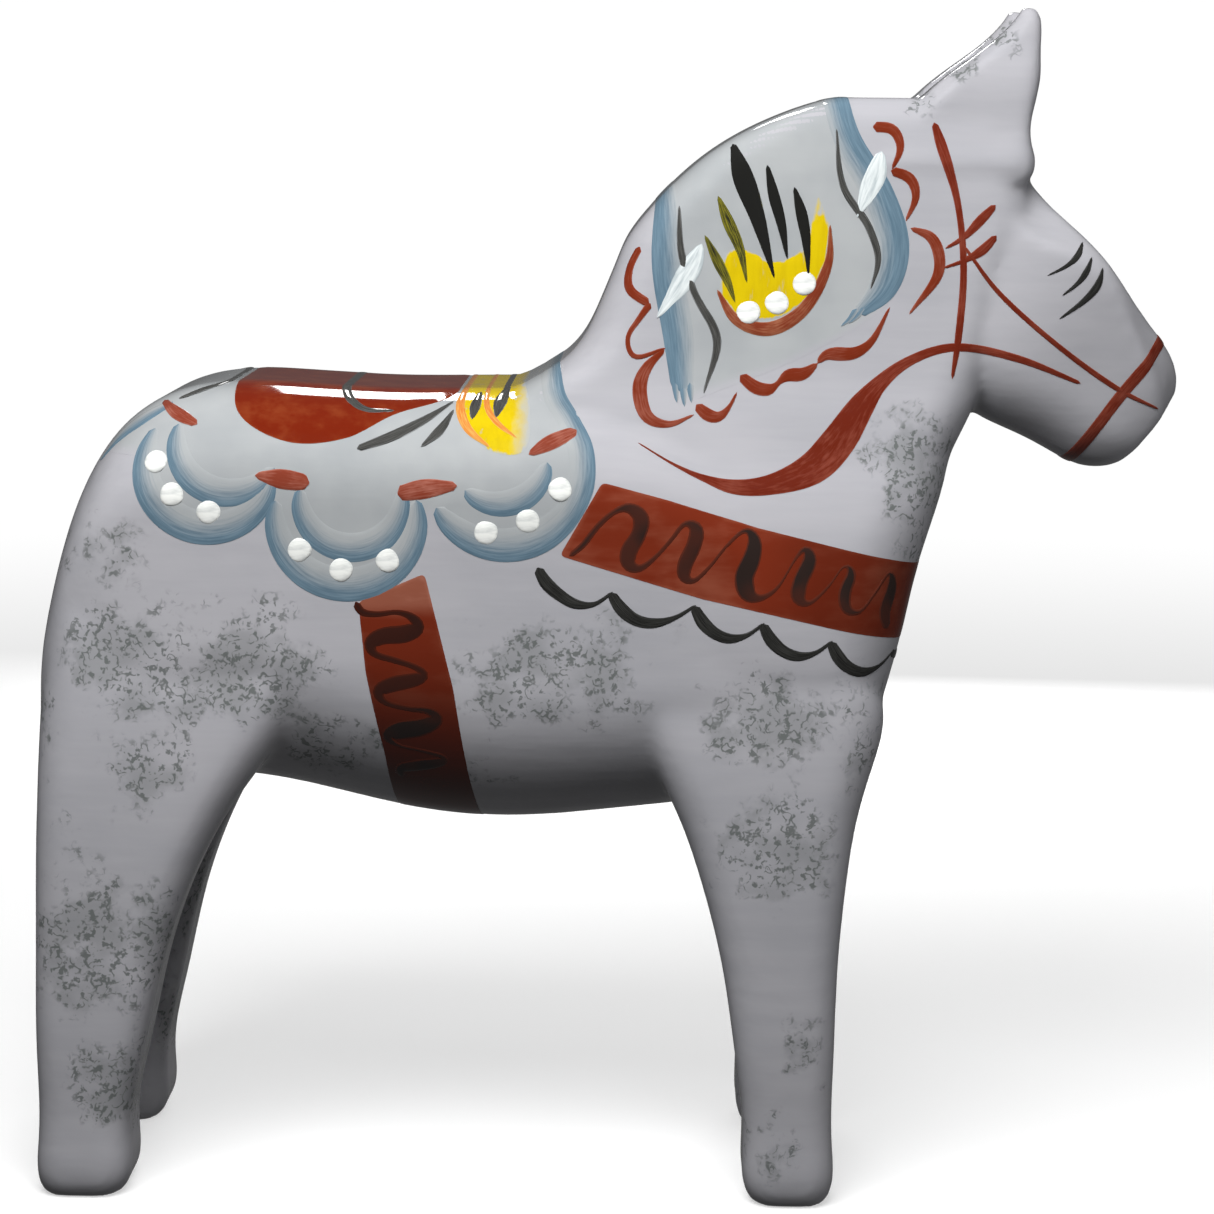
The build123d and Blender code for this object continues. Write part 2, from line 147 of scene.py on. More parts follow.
def relax(mesh):
    """Smooths away the steps and joins of the blank, least at the ear tips and the soles."""
    count = len(mesh.vertices)
    co = read(mesh.vertices, "co", 3, float)
    a, b = read(mesh.edges, "vertices", 2, int).T
    valence = np.bincount(a, minlength=count) + np.bincount(b, minlength=count)
    ears = smoothstep(*EARS, co[:, 2])
    soles = 1 - smoothstep(*SOLES, co[:, 2])
    softness = 1 - np.maximum(0.75 * ears, 0.8 * soles)

    def pull(points, amount):
        total = np.zeros_like(points)
        for axis in range(3):
            total[:, axis] = np.bincount(a, points[b, axis], count)
            total[:, axis] += np.bincount(b, points[a, axis], count)
        return points + (amount * softness)[:, None] * (total / valence[:, None] - points)

    for amount in ROUNDS * SMOOTHING:
        co = pull(co, amount)
    mesh.vertices.foreach_set("co", co.ravel())
    mesh.update()


skin = remeshed(joined_boards())
relax(skin)
skin_tree = BVHTree.FromPolygons([v.co for v in skin.vertices], [p.vertices for p in skin.polygons])

# --- Places on the skin ---
RIGHT = Vector((0, -1, 0))
FAR = 0.4  # outside the horse in any direction


def seen_at(x, z):
    """The point of the right side that is seen at (x, z), in millimetres, or None past the outline."""
    return skin_tree.ray_cast(Vector((x * MM, -FAR, z * MM)), -RIGHT)[0]


def nearest(point):
    foot, normal, _, _ = skin_tree.find_nearest(point)
    return foot, normal


def mirrored(points):
    return [Vector((p.x, -p.y, p.z)) for p in points]


class Wrap:
    """Coordinates round an axis inside the horse: along it, and the arc up from the right side."""

    RADIUS = 35 * MM  # turns the angle into a length, so that both coordinates have the same scale

    def __init__(self, origin, axis):
        self.origin = Vector(origin)
        self.axis = Vector(axis).normalized()
        self.up = RIGHT.cross(self.axis)

    def coordinates(self, point, middle):
        """middle is the arc at which the shape crosses to the left side, so that it isn't torn there."""
        along = (point - self.origin).dot(self.axis)
        out = point - self.origin - along * self.axis
        turn = math.atan2(out.dot(self.up), out.dot(RIGHT))
        if turn - middle > math.pi:
            turn -= 2 * math.pi
        if middle - turn > math.pi:
            turn += 2 * math.pi
        return along, turn * self.RADIUS

    def on_skin(self, along, arc):
        start = self.origin + along * self.axis
        turn = arc / self.RADIUS
        ray = math.cos(turn) * RIGHT + math.sin(turn) * self.up
        hit, normal, _, _ = skin_tree.ray_cast(start, ray)
        return (hit, normal) if hit is not None else nearest(start + ray * self.RADIUS)


TRUNK = Wrap((0, 0, 0.125), (1, 0, 0))
MANE = Wrap((0, 0, 0.185), (1, 0, 0))
NECK = Wrap((0.020, 0, 0), (0, 0, 1))

# --- Strokes ---
# A station is (x, z, breadth) in millimetres of the frame, as seen from the right side. Every stroke
# is painted on both sides. One that runs past the outline goes over the edge to the other side.
STEP = 0.7 * MM  # spacing of the points along a stroke
UNDER = 0.12 * MM  # how far a film reaches below the skin
CROWN = 0.05 * MM  # how much more paint lies along the middle of a stroke
OUTLINE_STEP = 0.5  # millimetres between the points of a side-view curve
DOT_RADIUS = 2.45 * MM
DOT_HEIGHT = 0.42 * MM
dice = random.Random(7)


def between(t, t0, p0, t1, p1):
    return (t1 - t) / (t1 - t0) * p0 + (t - t0) / (t1 - t0) * p1


def spline(stations):
    """Closely spaced points on a centripetal Catmull-Rom curve through the stations."""
    pts = np.array(stations, float)
    pts = np.vstack([2 * pts[0] - pts[1], pts, 2 * pts[-1] - pts[-2]])
    gaps = np.linalg.norm(np.diff(pts[:, :2], axis=0), axis=1)
    knots = np.concatenate([[0], np.cumsum(np.maximum(gaps, 1e-6) ** 0.5)])
    out = []
    for i in range(1, len(pts) - 2):
        t0, t1, t2, t3 = knots[i - 1 : i + 3]
        p0, p1, p2, p3 = pts[i - 1 : i + 3]
        count = max(2, int(gaps[i] / OUTLINE_STEP))
        for t in np.linspace(t1, t2, count, endpoint=False):
            a1 = between(t, t0, p0, t1, p1)
            a2 = between(t, t1, p1, t2, p2)
            a3 = between(t, t2, p2, t3, p3)
            b1 = between(t, t0, a1, t2, a2)
            b2 = between(t, t1, a2, t3, a3)
            out.append(between(t, t1, b1, t2, b2))
    out.append(pts[-2])
    return np.array(out)


def on_circle(centre, radius, turn):
    return centre[0] + radius * math.cos(turn), centre[1] + radius * math.sin(turn)


def bow(centre, radius, start, end, breadth, tail=0.3):
    """Stations of a stroke along an arc, from start to end degrees, that swells to breadth.

    It starts thin, and tail is the share of its breadth that is left at its end.
    """
    stations = []
    for share in np.linspace(0, 1, 13):
        turn = math.radians(start + (end - start) * share)
        swell = 0.3 + 0.7 * math.sin(math.pi * share) ** 0.6
        swell = swell if share < 0.5 else max(swell, tail)
        stations.append((*on_circle(centre, radius, turn), breadth * swell))
    return stations


def trace(points, closed=False):
    """3-D paths of side-view points on the skin: one over the edge, or one for each side.

    Gives (path, values, closed, mirror) where values are the points' third numbers.
    """
    hits = [seen_at(p[0], p[1]) for p in points]
    if closed and None in hits and hits[0] is not None:
        start = hits.index(None)
        points = [*points[start:], *points[:start]]
        hits = hits[start:] + hits[:start]
    seen = [i for i, hit in enumerate(hits) if hit is not None]
    first, last = seen[0], seen[-1]
    near = [hits[i] for i in seen]
    values = [points[i][2] for i in seen]
    far = mirrored(near)
    if closed and first == 0:
        return [(near, values, True, 1), (far, values, True, -1)]
    if closed:
        return [(near + far[::-1], values + values[::-1], True, 1)]
    if first == 0 and last == len(points) - 1:
        return [(near, values, False, 1), (far, values, False, -1)]
    if first == 0:
        return [(near + far[::-1], values + values[::-1], False, 1)]
    if last == len(points) - 1:
        return [(far[::-1] + near, values[::-1] + values, False, 1)]
    return [(near + far[::-1], values + values[::-1], True, 1)]


def resampled(path, values, closed, step):
    """The path again with even steps, pulled smooth and back onto the skin."""
    pts = np.array([tuple(p) for p in path])
    val = np.array(values, float)
    if closed:
        pts = np.vstack([pts, pts[:1]])
        val = np.append(val, val[0])
    run = np.concatenate([[0], np.cumsum(np.linalg.norm(np.diff(pts, axis=0), axis=1))])
    count = max(4, int(run[-1] / step))
    at = np.linspace(0, run[-1], count + 1)
    if closed:
        at = at[:-1]
    pts = np.stack([np.interp(at, run, pts[:, k]) for k in range(3)], 1)
    val = np.interp(at, run, val)
    for _ in range(2):
        if closed:
            pts = (np.roll(pts, 1, 0) + 2 * pts + np.roll(pts, -1, 0)) / 4
        else:
            pts[1:-1] = (pts[:-2] + 2 * pts[1:-1] + pts[2:]) / 4
    return [nearest(Vector(p))[0] for p in pts], val, at


class Film:
    """Collects the strokes that stand for one CAD film, and makes one piece of them."""

    def __init__(self, node, slot, lift):
        self.node = node
        self.slot = slot
        self.lift = lift * MM  # full height above the skin
        self.points = []
        self.faces = []
        self.brush = []  # for each point: metres along the stroke, share across it, metres to its edge

    def add(self, feet, heights, brush, faces, border):
        """Adds a closed film on the skin: its top, its bottom under the skin, and a wall at its border."""
        base = len(self.points)
        count = len(feet)
        self.points += [foot + normal * height for (foot, normal), height in zip(feet, heights)]
        self.points += [foot - normal * UNDER for foot, normal in feet]
        self.brush += 2 * brush
        for face in faces:
            self.faces.append([base + i for i in face])
            self.faces.append([base + count + i for i in reversed(face)])
        for i, j in border:
            self.faces.append([base + j, base + i, base + count + i, base + count + j])

    def rise(self, share):
        """Height above the skin, where share goes from 0 at a film's rim to 1 where it is full."""
        return self.lift * (0.45 + 0.55 * share)

    def ribbon(self, path, breadths, closed, mirror):
        spine, breadths, run = resampled(path, breadths, closed, STEP)
        breadths = breadths * MM
        count = len(spine)
        lanes = 9 if max(breadths) > 3 * MM else 7
        reach = max(breadths) / 2
        if not closed:
            for i in range(count):
                for gap, nib in ((run[i], breadths[0] / 2), (run[-1] - run[i], breadths[-1] / 2)):
                    if gap < nib:
                        breadths[i] *= max(0.15, math.sqrt(1 - (1 - gap / nib) ** 2))
        feet = []
        heights = []
        brush = []
        offset = dice.uniform(0, 1)
        for i in range(count):
            before = spine[i - 1] if closed or i else spine[0]
            after = spine[(i + 1) % count] if closed or i < count - 1 else spine[-1]
            _, normal = nearest(spine[i])
            across = normal.cross(after - before).normalized() * mirror
            half = breadths[i] / 2
            for lane in range(lanes):
                u = math.sin(math.pi / 2 * (2 * lane / (lanes - 1) - 1))
                feet.append(nearest(spine[i] + across * (u * half)))
                round_over = math.sqrt(max(0.0, 1 - u * u))
                heights.append(self.rise(round_over) + CROWN * round_over * half / reach)
                brush.append((run[i] + offset, u, half * (1 - abs(u))))
        rows = count if closed else count - 1
        faces = []
        border = []
        for i in range(rows):
            a = i * lanes
            b = ((i + 1) % count) * lanes
            for lane in range(lanes - 1):
                quad = [a + lane, b + lane, b + lane + 1, a + lane + 1]
                faces.append(quad if mirror > 0 else quad[::-1])
            ends = [(a, b), (b + lanes - 1, a + lanes - 1)]
            border += ends if mirror > 0 else [(j, k) for k, j in ends]
        if not closed:
            top = (count - 1) * lanes
            for lane in range(lanes - 1):
                ends = [(lane + 1, lane), (top + lane, top + lane + 1)]
                border += ends if mirror > 0 else [(j, k) for k, j in ends]
        self.add(feet, heights, brush, faces, border)

    def stroke(self, *stations):
        for path, breadths, closed, mirror in trace(spline(stations)):
            self.ribbon(path, breadths, closed, mirror)

    def area(self, wrap, middle, *outlines, spacing=1.5, shoulder=0.5):
        """Fills the union of side-view outlines. middle is the turn where they cross to the left.

        The paint reaches its full height shoulder millimetres in from its rim.
        """
        groups = {1: [], -1: []}
        for outline in outlines:
            for path, _, _, mirror in trace([(x, z, 0) for x, z in outline], closed=True):
                groups[mirror].append(resampled(path, [0] * len(path), True, 0.5 * MM)[0])
        for mirror, loops in groups.items():
            if not loops:
                continue
            centre = middle if mirror > 0 or abs(middle) < 1e-6 else 2 * middle
            flat = [[wrap.coordinates(p, centre) for p in loop] for loop in loops]
            self.fill(wrap, flat, spacing * MM, shoulder * MM)

    def fill(self, wrap, loops, spacing, shoulder):
        corners = []
        faces = []
        for loop in loops:
            faces.append(list(range(len(corners), len(corners) + len(loop))))
            corners += loop
        low = np.min(corners, axis=0)
        high = np.max(corners, axis=0)
        columns, rows = (np.arange(low[k], high[k], spacing) for k in (0, 1))
        grid = np.stack(np.meshgrid(columns, rows), -1).reshape(-1, 2)
        rim = KDTree(len(corners))
        for i, corner in enumerate(corners):
            rim.insert((*corner, 0), i)
        rim.balance()
        inner = [tuple(p) for p in grid if rim.find((*p, 0))[2] > 0.45 * spacing]
        points, _, triangles, *_ = geometry.delaunay_2d_cdt(
            [Vector(c) for c in corners + inner], [], faces, 1, 1e-7
        )
        edges = {}
        for triangle in triangles:
            for i, j in zip(triangle, triangle[1:] + triangle[:1]):
                edges[(i, j)] = edges.get((i, j), 0) + 1
        border = [(i, j) for i, j in edges if (j, i) not in edges]
        rim = KDTree(len(border))
        for k, (i, _) in enumerate(border):
            rim.insert((*points[i], 0), k)
        rim.balance()
        feet = []
        heights = []
        brush = []
        for x, y in points:
            gap = rim.find((x, y, 0))[2]
            feet.append(wrap.on_skin(x, y))
            heights.append(self.rise(float(smoothstep(0, shoulder, gap))))
            brush.append((x, y / MM / 10, gap))
        self.add(feet, heights, brush, [list(t) for t in triangles], border)

    def dots(self, *places):
        for x, z in places:
            centre = seen_at(x, z)
            self.dot(centre)
            self.dot(*mirrored([centre]))

    def dot(self, centre):
        """A thick round drop of paint, a little uneven."""
        rings, spokes = 6, 22
        _, normal = nearest(centre)
        side = normal.cross(Vector((0, 0, 1))).normalized()
        up = side.cross(normal)
        lobes = [(dice.uniform(0.008, 0.026), dice.uniform(0, 6.28)) for _ in range(3)]
        lean = dice.uniform(0, 6.28)
        feet = [nearest(centre)]
        heights = [self.rise(0) + DOT_HEIGHT]
        brush = [(0, 0, DOT_RADIUS)]
        for ring in range(1, rings + 1):
            share = math.sin(math.pi / 2 * ring / rings)
            for spoke in range(spokes):
                turn = 2 * math.pi * spoke / spokes
                out = 1 + sum(size * math.sin((k + 2) * turn + at) for k, (size, at) in enumerate(lobes))
                away = side * math.cos(turn) + up * math.sin(turn)
                feet.append(nearest(centre + away * DOT_RADIUS * share * out))
                dome = math.sqrt(max(0.0, 1 - share**2)) * (1 + 0.25 * share * math.cos(turn - lean))
                heights.append(self.rise(0) + DOT_HEIGHT * dome)
                reach = DOT_RADIUS * share
                brush.append((reach * math.cos(turn), share * math.sin(turn), DOT_RADIUS - reach))
        faces = []
        border = []
        for spoke in range(spokes):
            following = (spoke + 1) % spokes
            faces.append([0, 1 + spoke, 1 + following])
            for ring in range(rings - 1):
                a, b = 1 + ring * spokes, 1 + (ring + 1) * spokes
                faces.append([a + spoke, b + spoke, b + following, a + following])
            last = 1 + (rings - 1) * spokes
            border.append((last + spoke, last + following))
        self.add(feet, heights, brush, faces, border)

    def piece(self, material):
        mesh = bpy.data.meshes.new(self.node + "_paint")
        mesh.from_pydata(self.points, [], self.faces)
        mesh.validate()
        attribute = mesh.attributes.new("brush", "FLOAT_VECTOR", "POINT")
        attribute.data.foreach_set("vector", np.array(self.brush, np.float32).ravel())
        bm = bmesh.new()
        bm.from_mesh(mesh)
        bmesh.ops.recalc_face_normals(bm, faces=bm.faces)
        bm.to_mesh(mesh)
        bm.free()
        mesh.polygons.foreach_set("use_smooth", [True] * len(mesh.polygons))
        mesh.set_sharp_from_angle(angle=math.radians(50))
        mesh.materials.append(material)
        result = mesh_object(self.node + "_paint", mesh)
        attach(result, "root")
        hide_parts(self.node)


# --- Materials ---
class Tree:
    """The node tree of a material or the world. Most calls add nodes and return an output socket."""

    def __init__(self, owner):
        owner.use_nodes = True
        self.tree = owner.node_tree

    def node(self, kind, inputs, **settings):
        made = self.tree.nodes.new(kind)
        for key, value in settings.items():
            setattr(made, key, value)
        for key, value in inputs.items():
            if isinstance(value, bpy.types.NodeSocket):
                self.tree.links.new(value, made.inputs[key])
            else:
                made.inputs[key].default_value = value
        return made

    def math(self, operation, a, b=0.0):
        return self.node("ShaderNodeMath", {0: a, 1: b}, operation=operation).outputs[0]

    def plus(self, a, b):
        return self.math("ADD", a, b)

    def minus(self, a, b):
        return self.math("SUBTRACT", a, b)

    def times(self, a, b):
        return self.math("MULTIPLY", a, b)

    def mix(self, factor, a, b):
        inputs = {"Factor": factor, 6: a, 7: b}
        return self.node("ShaderNodeMix", inputs, data_type="RGBA").outputs[2]

    def remap(self, value, low, high, to_low=0.0, to_high=1.0, ramp="SMOOTHSTEP"):
        inputs = {"Value": value, "From Min": low, "From Max": high, "To Min": to_low, "To Max": to_high}
        return self.node("ShaderNodeMapRange", inputs, interpolation_type=ramp).outputs[0]

    def noise(self, vector, scale, detail=2.0, roughness=0.5):
        inputs = {"Vector": vector, "Scale": scale, "Detail": detail, "Roughness": roughness}
        return self.node("ShaderNodeTexNoise", inputs).outputs[0]

    def vector(self, operation, a, b):
        return self.node("ShaderNodeVectorMath", {0: a, 1: b}, operation=operation).outputs[0]

    def streaks(self, vector, scales, detail=3, roughness=0.6):
        """Noise with its own scale along each axis."""
        return self.noise(self.vector("MULTIPLY", vector, scales), 1.0, detail, roughness)

    def axis(self, vector, axis):
        return self.node("ShaderNodeSeparateXYZ", {0: vector}).outputs[axis]


class Graph(Tree):
    """A material, with the place on the object that its patterns follow."""

    def __init__(self, name):
        self.material = bpy.data.materials.new(name)
        super().__init__(self.material)
        self.shader = self.tree.nodes["Principled BSDF"]
        self.place = self.node("ShaderNodeTexCoord", {}).outputs["Object"]

    def attribute(self, name):
        return self.node("ShaderNodeAttribute", {}, attribute_name=name).outputs

    def brush(self):
        """The stroke's own coordinates: the vector, the share across it and the distance to its edge."""
        vector = self.attribute("brush")["Vector"]
        return vector, self.axis(vector, 1), self.axis(vector, 2)

    def bump(self, height, distance, strength=1.0):
        inputs = {"Height": height, "Distance": distance, "Strength": strength}
        normal = self.node("ShaderNodeBump", inputs).outputs[0]
        self.tree.links.new(normal, self.shader.inputs["Normal"])

    def varnish(self, tone, roughness, marks=1.0):
        """Ends the material with paint of this colour under varnish with brush marks and orange peel."""
        peel = self.noise(self.place, 170)
        hairs = self.streaks(self.place, (60, 420, 420), 2, 0.5)
        self.bump(self.plus(self.times(peel, 0.7), self.times(hairs, 0.3)), 0.12 * MM, marks)
        return self.finish(tone, roughness)

    def finish(self, tone, roughness, coat=1.0):
        self.tree.links.new(tone, self.shader.inputs["Base Color"])
        self.shader.inputs["Roughness"].default_value = roughness
        self.shader.inputs["Specular IOR Level"].default_value = 0.0
        self.shader.inputs["Coat Weight"].default_value = coat
        self.shader.inputs["Coat Roughness"].default_value = 0.06
        self.shader.inputs["Coat IOR"].default_value = 1.5
        return self.material


def colour(r, g, b):
    return (r, g, b, 1.0)


GREY = colour(0.395, 0.390, 0.415)
GREY_DEEP = colour(0.345, 0.345, 0.370)
WASH = colour(0.305, 0.322, 0.330)
WASH_LIGHT = colour(0.355, 0.370, 0.375)
BLUE = colour(0.085, 0.142, 0.190)
RED = colour(0.165, 0.022, 0.008)
RED_THIN = colour(0.23, 0.056, 0.030)
# dark red that stands in for shade on the straps
RED_PAINTED_SHADE = colour(0.060, 0.008, 0.003)
BRIGHT_RED = colour(0.148, 0.012, 0.002)
BLACK = colour(0.012, 0.012, 0.011)
YELLOW = colour(0.58, 0.43, 0.003)
ORANGE = colour(0.56, 0.175, 0.030)
WHITE = colour(0.80, 0.81, 0.78)
FLECK = colour(0.100, 0.112, 0.106)
FLECK_BEND = 1.3 * MM  # how far the threads of the sponge wander


def ground_coat(graph):
    """The lilac-grey paint of the whole horse: laid on by brush, so a little uneven."""
    broad = graph.noise(graph.place, 22, 3, 0.55)
    laps = graph.streaks(graph.place, (30, 260, 260))
    uneven = graph.plus(graph.times(broad, 0.65), graph.times(laps, 0.35))
    return graph.mix(graph.remap(uneven, 0.32, 0.68), GREY_DEEP, GREY)


def grey_wood():
    """Ground coat with sponged flecks, where the skin's attribute "sponge" says."""
    g = Graph("grey_wood")
    base = ground_coat(g)
    sponge = g.attribute("sponge")["Fac"]
    bend = g.node("ShaderNodeTexNoise", {"Vector": g.place, "Scale": 460.0}).outputs[1]
    bent = g.vector("ADD", g.place, g.vector("MULTIPLY", bend, 3 * (FLECK_BEND,)))
    threads = g.math("ABSOLUTE", g.minus(g.noise(bent, 470, 1, 0.4), 0.5))
    broken = g.remap(g.noise(g.place, 480), 0.45, 0.57)
    worms = g.times(g.remap(threads, 0.016, 0.060, 1.0, 0.0), broken)
    blobs = g.remap(g.noise(bent, 680, 2, 0.55), 0.56, 0.65)
    clumps = g.plus(g.noise(g.place, 120, 3, 0.65), g.times(sponge, 0.42))
    here = g.times(g.remap(clumps, 0.60, 0.80), g.remap(sponge, 0.02, 0.16))
    marks = g.times(g.math("MAXIMUM", worms, blobs), here)
    haze = g.times(g.times(here, g.remap(g.noise(g.place, 75), 0.36, 0.60)), 0.34)
    stained = g.mix(haze, base, FLECK)
    return g.varnish(g.mix(g.times(marks, 0.80), stained, FLECK), 0.42)


def flat_paint(name, main, thin, streak=0.5):
    """One colour brushed on, thinner in streaks along the stroke and at its rim."""
    g = Graph(name)
    vector, _, rim = g.brush()
    hairs = g.streaks(vector, (260, 5.0, 0))
    cloud = g.noise(g.place, 130, 3, 0.6)
    load = g.plus(g.times(hairs, streak), g.times(cloud, 1 - streak))
    at_rim = g.remap(rim, 0.0, 0.25 * MM, 0.16, 0.0)
    body = g.remap(g.minus(load, at_rim), 0.31, 0.57)
    return g.varnish(g.mix(body, thin, main), 0.38, 0.8)


def band_paint(name, axis, shade_span, faded=None):
    """The red straps: broad patches brushed along, with clear edges.

    Painted shade: between the first two places of the shade span on the axis, the red goes from its third
    to its fourth share of a dark shaded red. A thin pink end starts between the two places of faded.
    """
    g = Graph(name)
    _, _, rim = g.brush()
    hairs = g.streaks(g.place, (70, 300, 300))
    cloud = g.noise(g.place, 60, 3, 0.6)
    reach = g.axis(g.place, axis)
    reach = g.plus(reach, g.times(cloud, 6 * MM))
    load = g.plus(g.times(hairs, 0.4), g.times(cloud, 0.6))
    body = g.remap(g.minus(load, g.remap(rim, 0.0, 0.8 * MM, 0.10, 0.0)), 0.30, 0.56)
    # Painted shade: the strap is mixed towards a dark red along the axis, darkest low on the belly and at
    # the front of the chest.
    tone = g.mix(g.remap(reach, *shade_span), g.mix(body, RED_THIN, RED), RED_PAINTED_SHADE)
    if faded:
        pink = g.mix(body, colour(0.33, 0.13, 0.09), colour(0.24, 0.075, 0.045))
        tone = g.mix(g.remap(reach, *faded), tone, pink)
    return g.varnish(tone, 0.38, 0.8)


def wash_tone(graph, cloud):
    return graph.mix(graph.remap(cloud, 0.35, 0.68), WASH, WASH_LIGHT)


def wash_paint():
    """A thin pale wash, cloudy, that ends in a soft edge on the ground coat."""
    g = Graph("pale_paint")
    _, _, rim = g.brush()
    cloud = g.noise(g.place, 45, 3, 0.6)
    soft = g.remap(g.plus(rim, g.times(cloud, 1.5 * MM)), 0.5 * MM, 3.2 * MM)
    return g.varnish(g.mix(g.times(soft, 0.92), ground_coat(g), wash_tone(g, cloud)), 0.42)


def two_tone_paint(name, start, end):
    """A brush loaded with blue on one side and the wash on the other, from start to end across it."""
    g = Graph(name)
    vector, across, _ = g.brush()
    hairs = g.streaks(vector, (120, 7.0, 0), 4, 0.65)
    share = g.plus(g.times(across, 0.5), g.times(hairs, 0.55))
    faded = g.remap(share, start, end)
    blue = g.mix(g.remap(hairs, 0.30, 0.70), BLUE, colour(0.135, 0.208, 0.265))
    return g.varnish(g.mix(faded, blue, wash_tone(g, g.noise(g.place, 45, 3, 0.6))), 0.40)


def shaded_black(name, main, thin, under):
    """Translucent black: dense at the heart of the stroke, grey in streaks where the brush ran dry."""
    g = Graph(name)
    vector, _, rim = g.brush()
    hairs = g.streaks(vector, (170, 9.0, 0), 4, 0.65)
    body = g.remap(hairs, 0.30, 0.62)
    ink = g.mix(body, thin, main)
    cover = g.remap(g.plus(hairs, g.remap(rim, 0.0, 0.5 * MM, 0.0, 0.35)), 0.34, 0.62)
    return g.varnish(g.mix(cover, under, ink), 0.36, 0.8)


def wave_ink(name, main, thin):
    """Dark paint that was pressed on thick in the down strokes, and lets the strap show where thin."""
    g = Graph(name)
    vector, _, rim = g.brush()
    hairs = g.streaks(vector, (200, 3.0, 0))
    cloud = g.noise(g.place, 85)
    load = g.plus(g.remap(rim, 0.05 * MM, 0.75 * MM), g.times(g.minus(hairs, 0.5), 0.9))
    heavy = g.mix(g.remap(cloud, 0.40, 0.64), main, g.mix(0.5, main, thin))
    return g.varnish(g.mix(g.remap(load, 0.25, 0.75), thin, heavy), 0.38, 0.8)


PETAL_LEAN = 0.326  # how far the fan of petals leans back for each step up


def petal_paint(turn_black):
    """Black over yellow: olive in the rear petals of the fan, black from turn_black on."""
    g = Graph("petal_paint")
    vector, _, rim = g.brush()
    hairs = g.streaks(vector, (230, 6.0, 0), 4, 0.65)
    fan = g.plus(g.axis(g.place, 0), g.times(g.axis(g.place, 2), PETAL_LEAN))
    load = g.plus(hairs, g.remap(fan, *turn_black, -0.16, 0.20))
    load = g.plus(load, g.remap(rim, 0.0, 0.45 * MM, -0.10, 0.02))
    olive = g.mix(g.remap(hairs, 0.35, 0.60), colour(0.21, 0.19, 0.015), colour(0.065, 0.062, 0.016))
    return g.varnish(g.mix(g.remap(load, 0.26, 0.52), olive, BLACK), 0.34, 0.8)


def yellow_paint(name, fade=None):
    """Yellow brushed in short strokes, thinner at its rim, and gone between the two x of fade."""
    g = Graph(name)
    _, _, rim = g.brush()
    hairs = g.streaks(g.place, (420, 300, 90))
    load = g.minus(hairs, g.remap(rim, 0.0, 0.9 * MM, 0.22, 0.0))
    body = g.remap(load, 0.22, 0.40)
    if fade:
        along = g.axis(g.place, 0)
        along = g.plus(along, g.times(hairs, 4 * MM))
        body = g.times(body, g.remap(along, *fade, 1.0, 0.04))
    shade = g.mix(g.remap(hairs, 0.35, 0.65), colour(0.53, 0.385, 0.003), YELLOW)
    return g.varnish(g.mix(body, WASH_LIGHT, shade), 0.36, 0.8)


def white_paint(name, main, thin, streaks):
    """Thick white with brush marks. streaks says how many lie across it."""
    g = Graph(name)
    vector, _, rim = g.brush()
    hairs = g.streaks(vector, (150, streaks, 0))
    lumps = g.noise(g.place, 700)
    load = g.minus(hairs, g.remap(rim, 0.0, 0.6 * MM, 0.10, 0.0))
    tone = g.mix(g.remap(load, 0.26, 0.62), thin, main)
    g.bump(g.plus(g.times(hairs, 0.6), lumps), 0.06 * MM, 0.5)
    return g.finish(tone, 0.34)


# --- Paints ---
red = flat_paint("red_paint", colour(0.125, 0.015, 0.006), colour(0.215, 0.050, 0.030))
curl_red = flat_paint("curl_red_paint", colour(0.155, 0.021, 0.007), colour(0.25, 0.072, 0.046))
thin_red = flat_paint("thin_red_paint", colour(0.17, 0.030, 0.013), colour(0.30, 0.115, 0.060))
# Painted shade: the chest band darker towards its front, the girth band darker low on the belly.
chest_red = band_paint("chest_red_paint", 0, (31 * MM, 50 * MM, 0.0, 0.5))
girth_red = band_paint("girth_red_paint", 2, (99 * MM, 132 * MM, 1.0, 0.2), faded=(128 * MM, 132 * MM))
bright_red = flat_paint("bright_red_paint", BRIGHT_RED, colour(0.20, 0.034, 0.009), streak=0.3)
blue = two_tone_paint("saddle_blue_paint", -0.12, 0.62)
deep_blue = two_tone_paint("mane_blue_paint", 0.12, 0.88)
wash = wash_paint()
black = shaded_black("black_paint", BLACK, colour(0.045, 0.045, 0.042), colour(0.07, 0.07, 0.07))
vein = shaded_black(
    "vein_paint", colour(0.030, 0.030, 0.028), colour(0.10, 0.10, 0.095), colour(0.30, 0.31, 0.32)
)
chest_ink = wave_ink("chest_dark_paint", colour(0.022, 0.014, 0.012), colour(0.080, 0.018, 0.010))
girth_ink = wave_ink("girth_dark_paint", colour(0.014, 0.009, 0.008), colour(0.050, 0.010, 0.005))
yellow = yellow_paint("yellow_paint")
fading_yellow = yellow_paint("tulip_yellow_paint", (-18.5 * MM, -14.0 * MM))
orange = flat_paint("orange_paint", ORANGE, colour(0.60, 0.36, 0.10), streak=0.8)
white = white_paint("white_paint", WHITE, colour(0.52, 0.54, 0.53), 1.5)
leaf = white_paint("leaf_paint", colour(0.64, 0.68, 0.68), colour(0.36, 0.41, 0.43), 2.6)
dash = flat_paint("dash_paint", colour(0.20, 0.038, 0.020), colour(0.34, 0.125, 0.090), streak=0.45)
petal = petal_paint((91 * MM, 95 * MM))

# --- Painted films ---
OVER_TOP = math.pi / 2  # the turn at which a shape crosses the back or the crest
UNDERNEATH = -math.pi / 2  # and the belly, or the chest
CORNER_RADIUS = 0.7


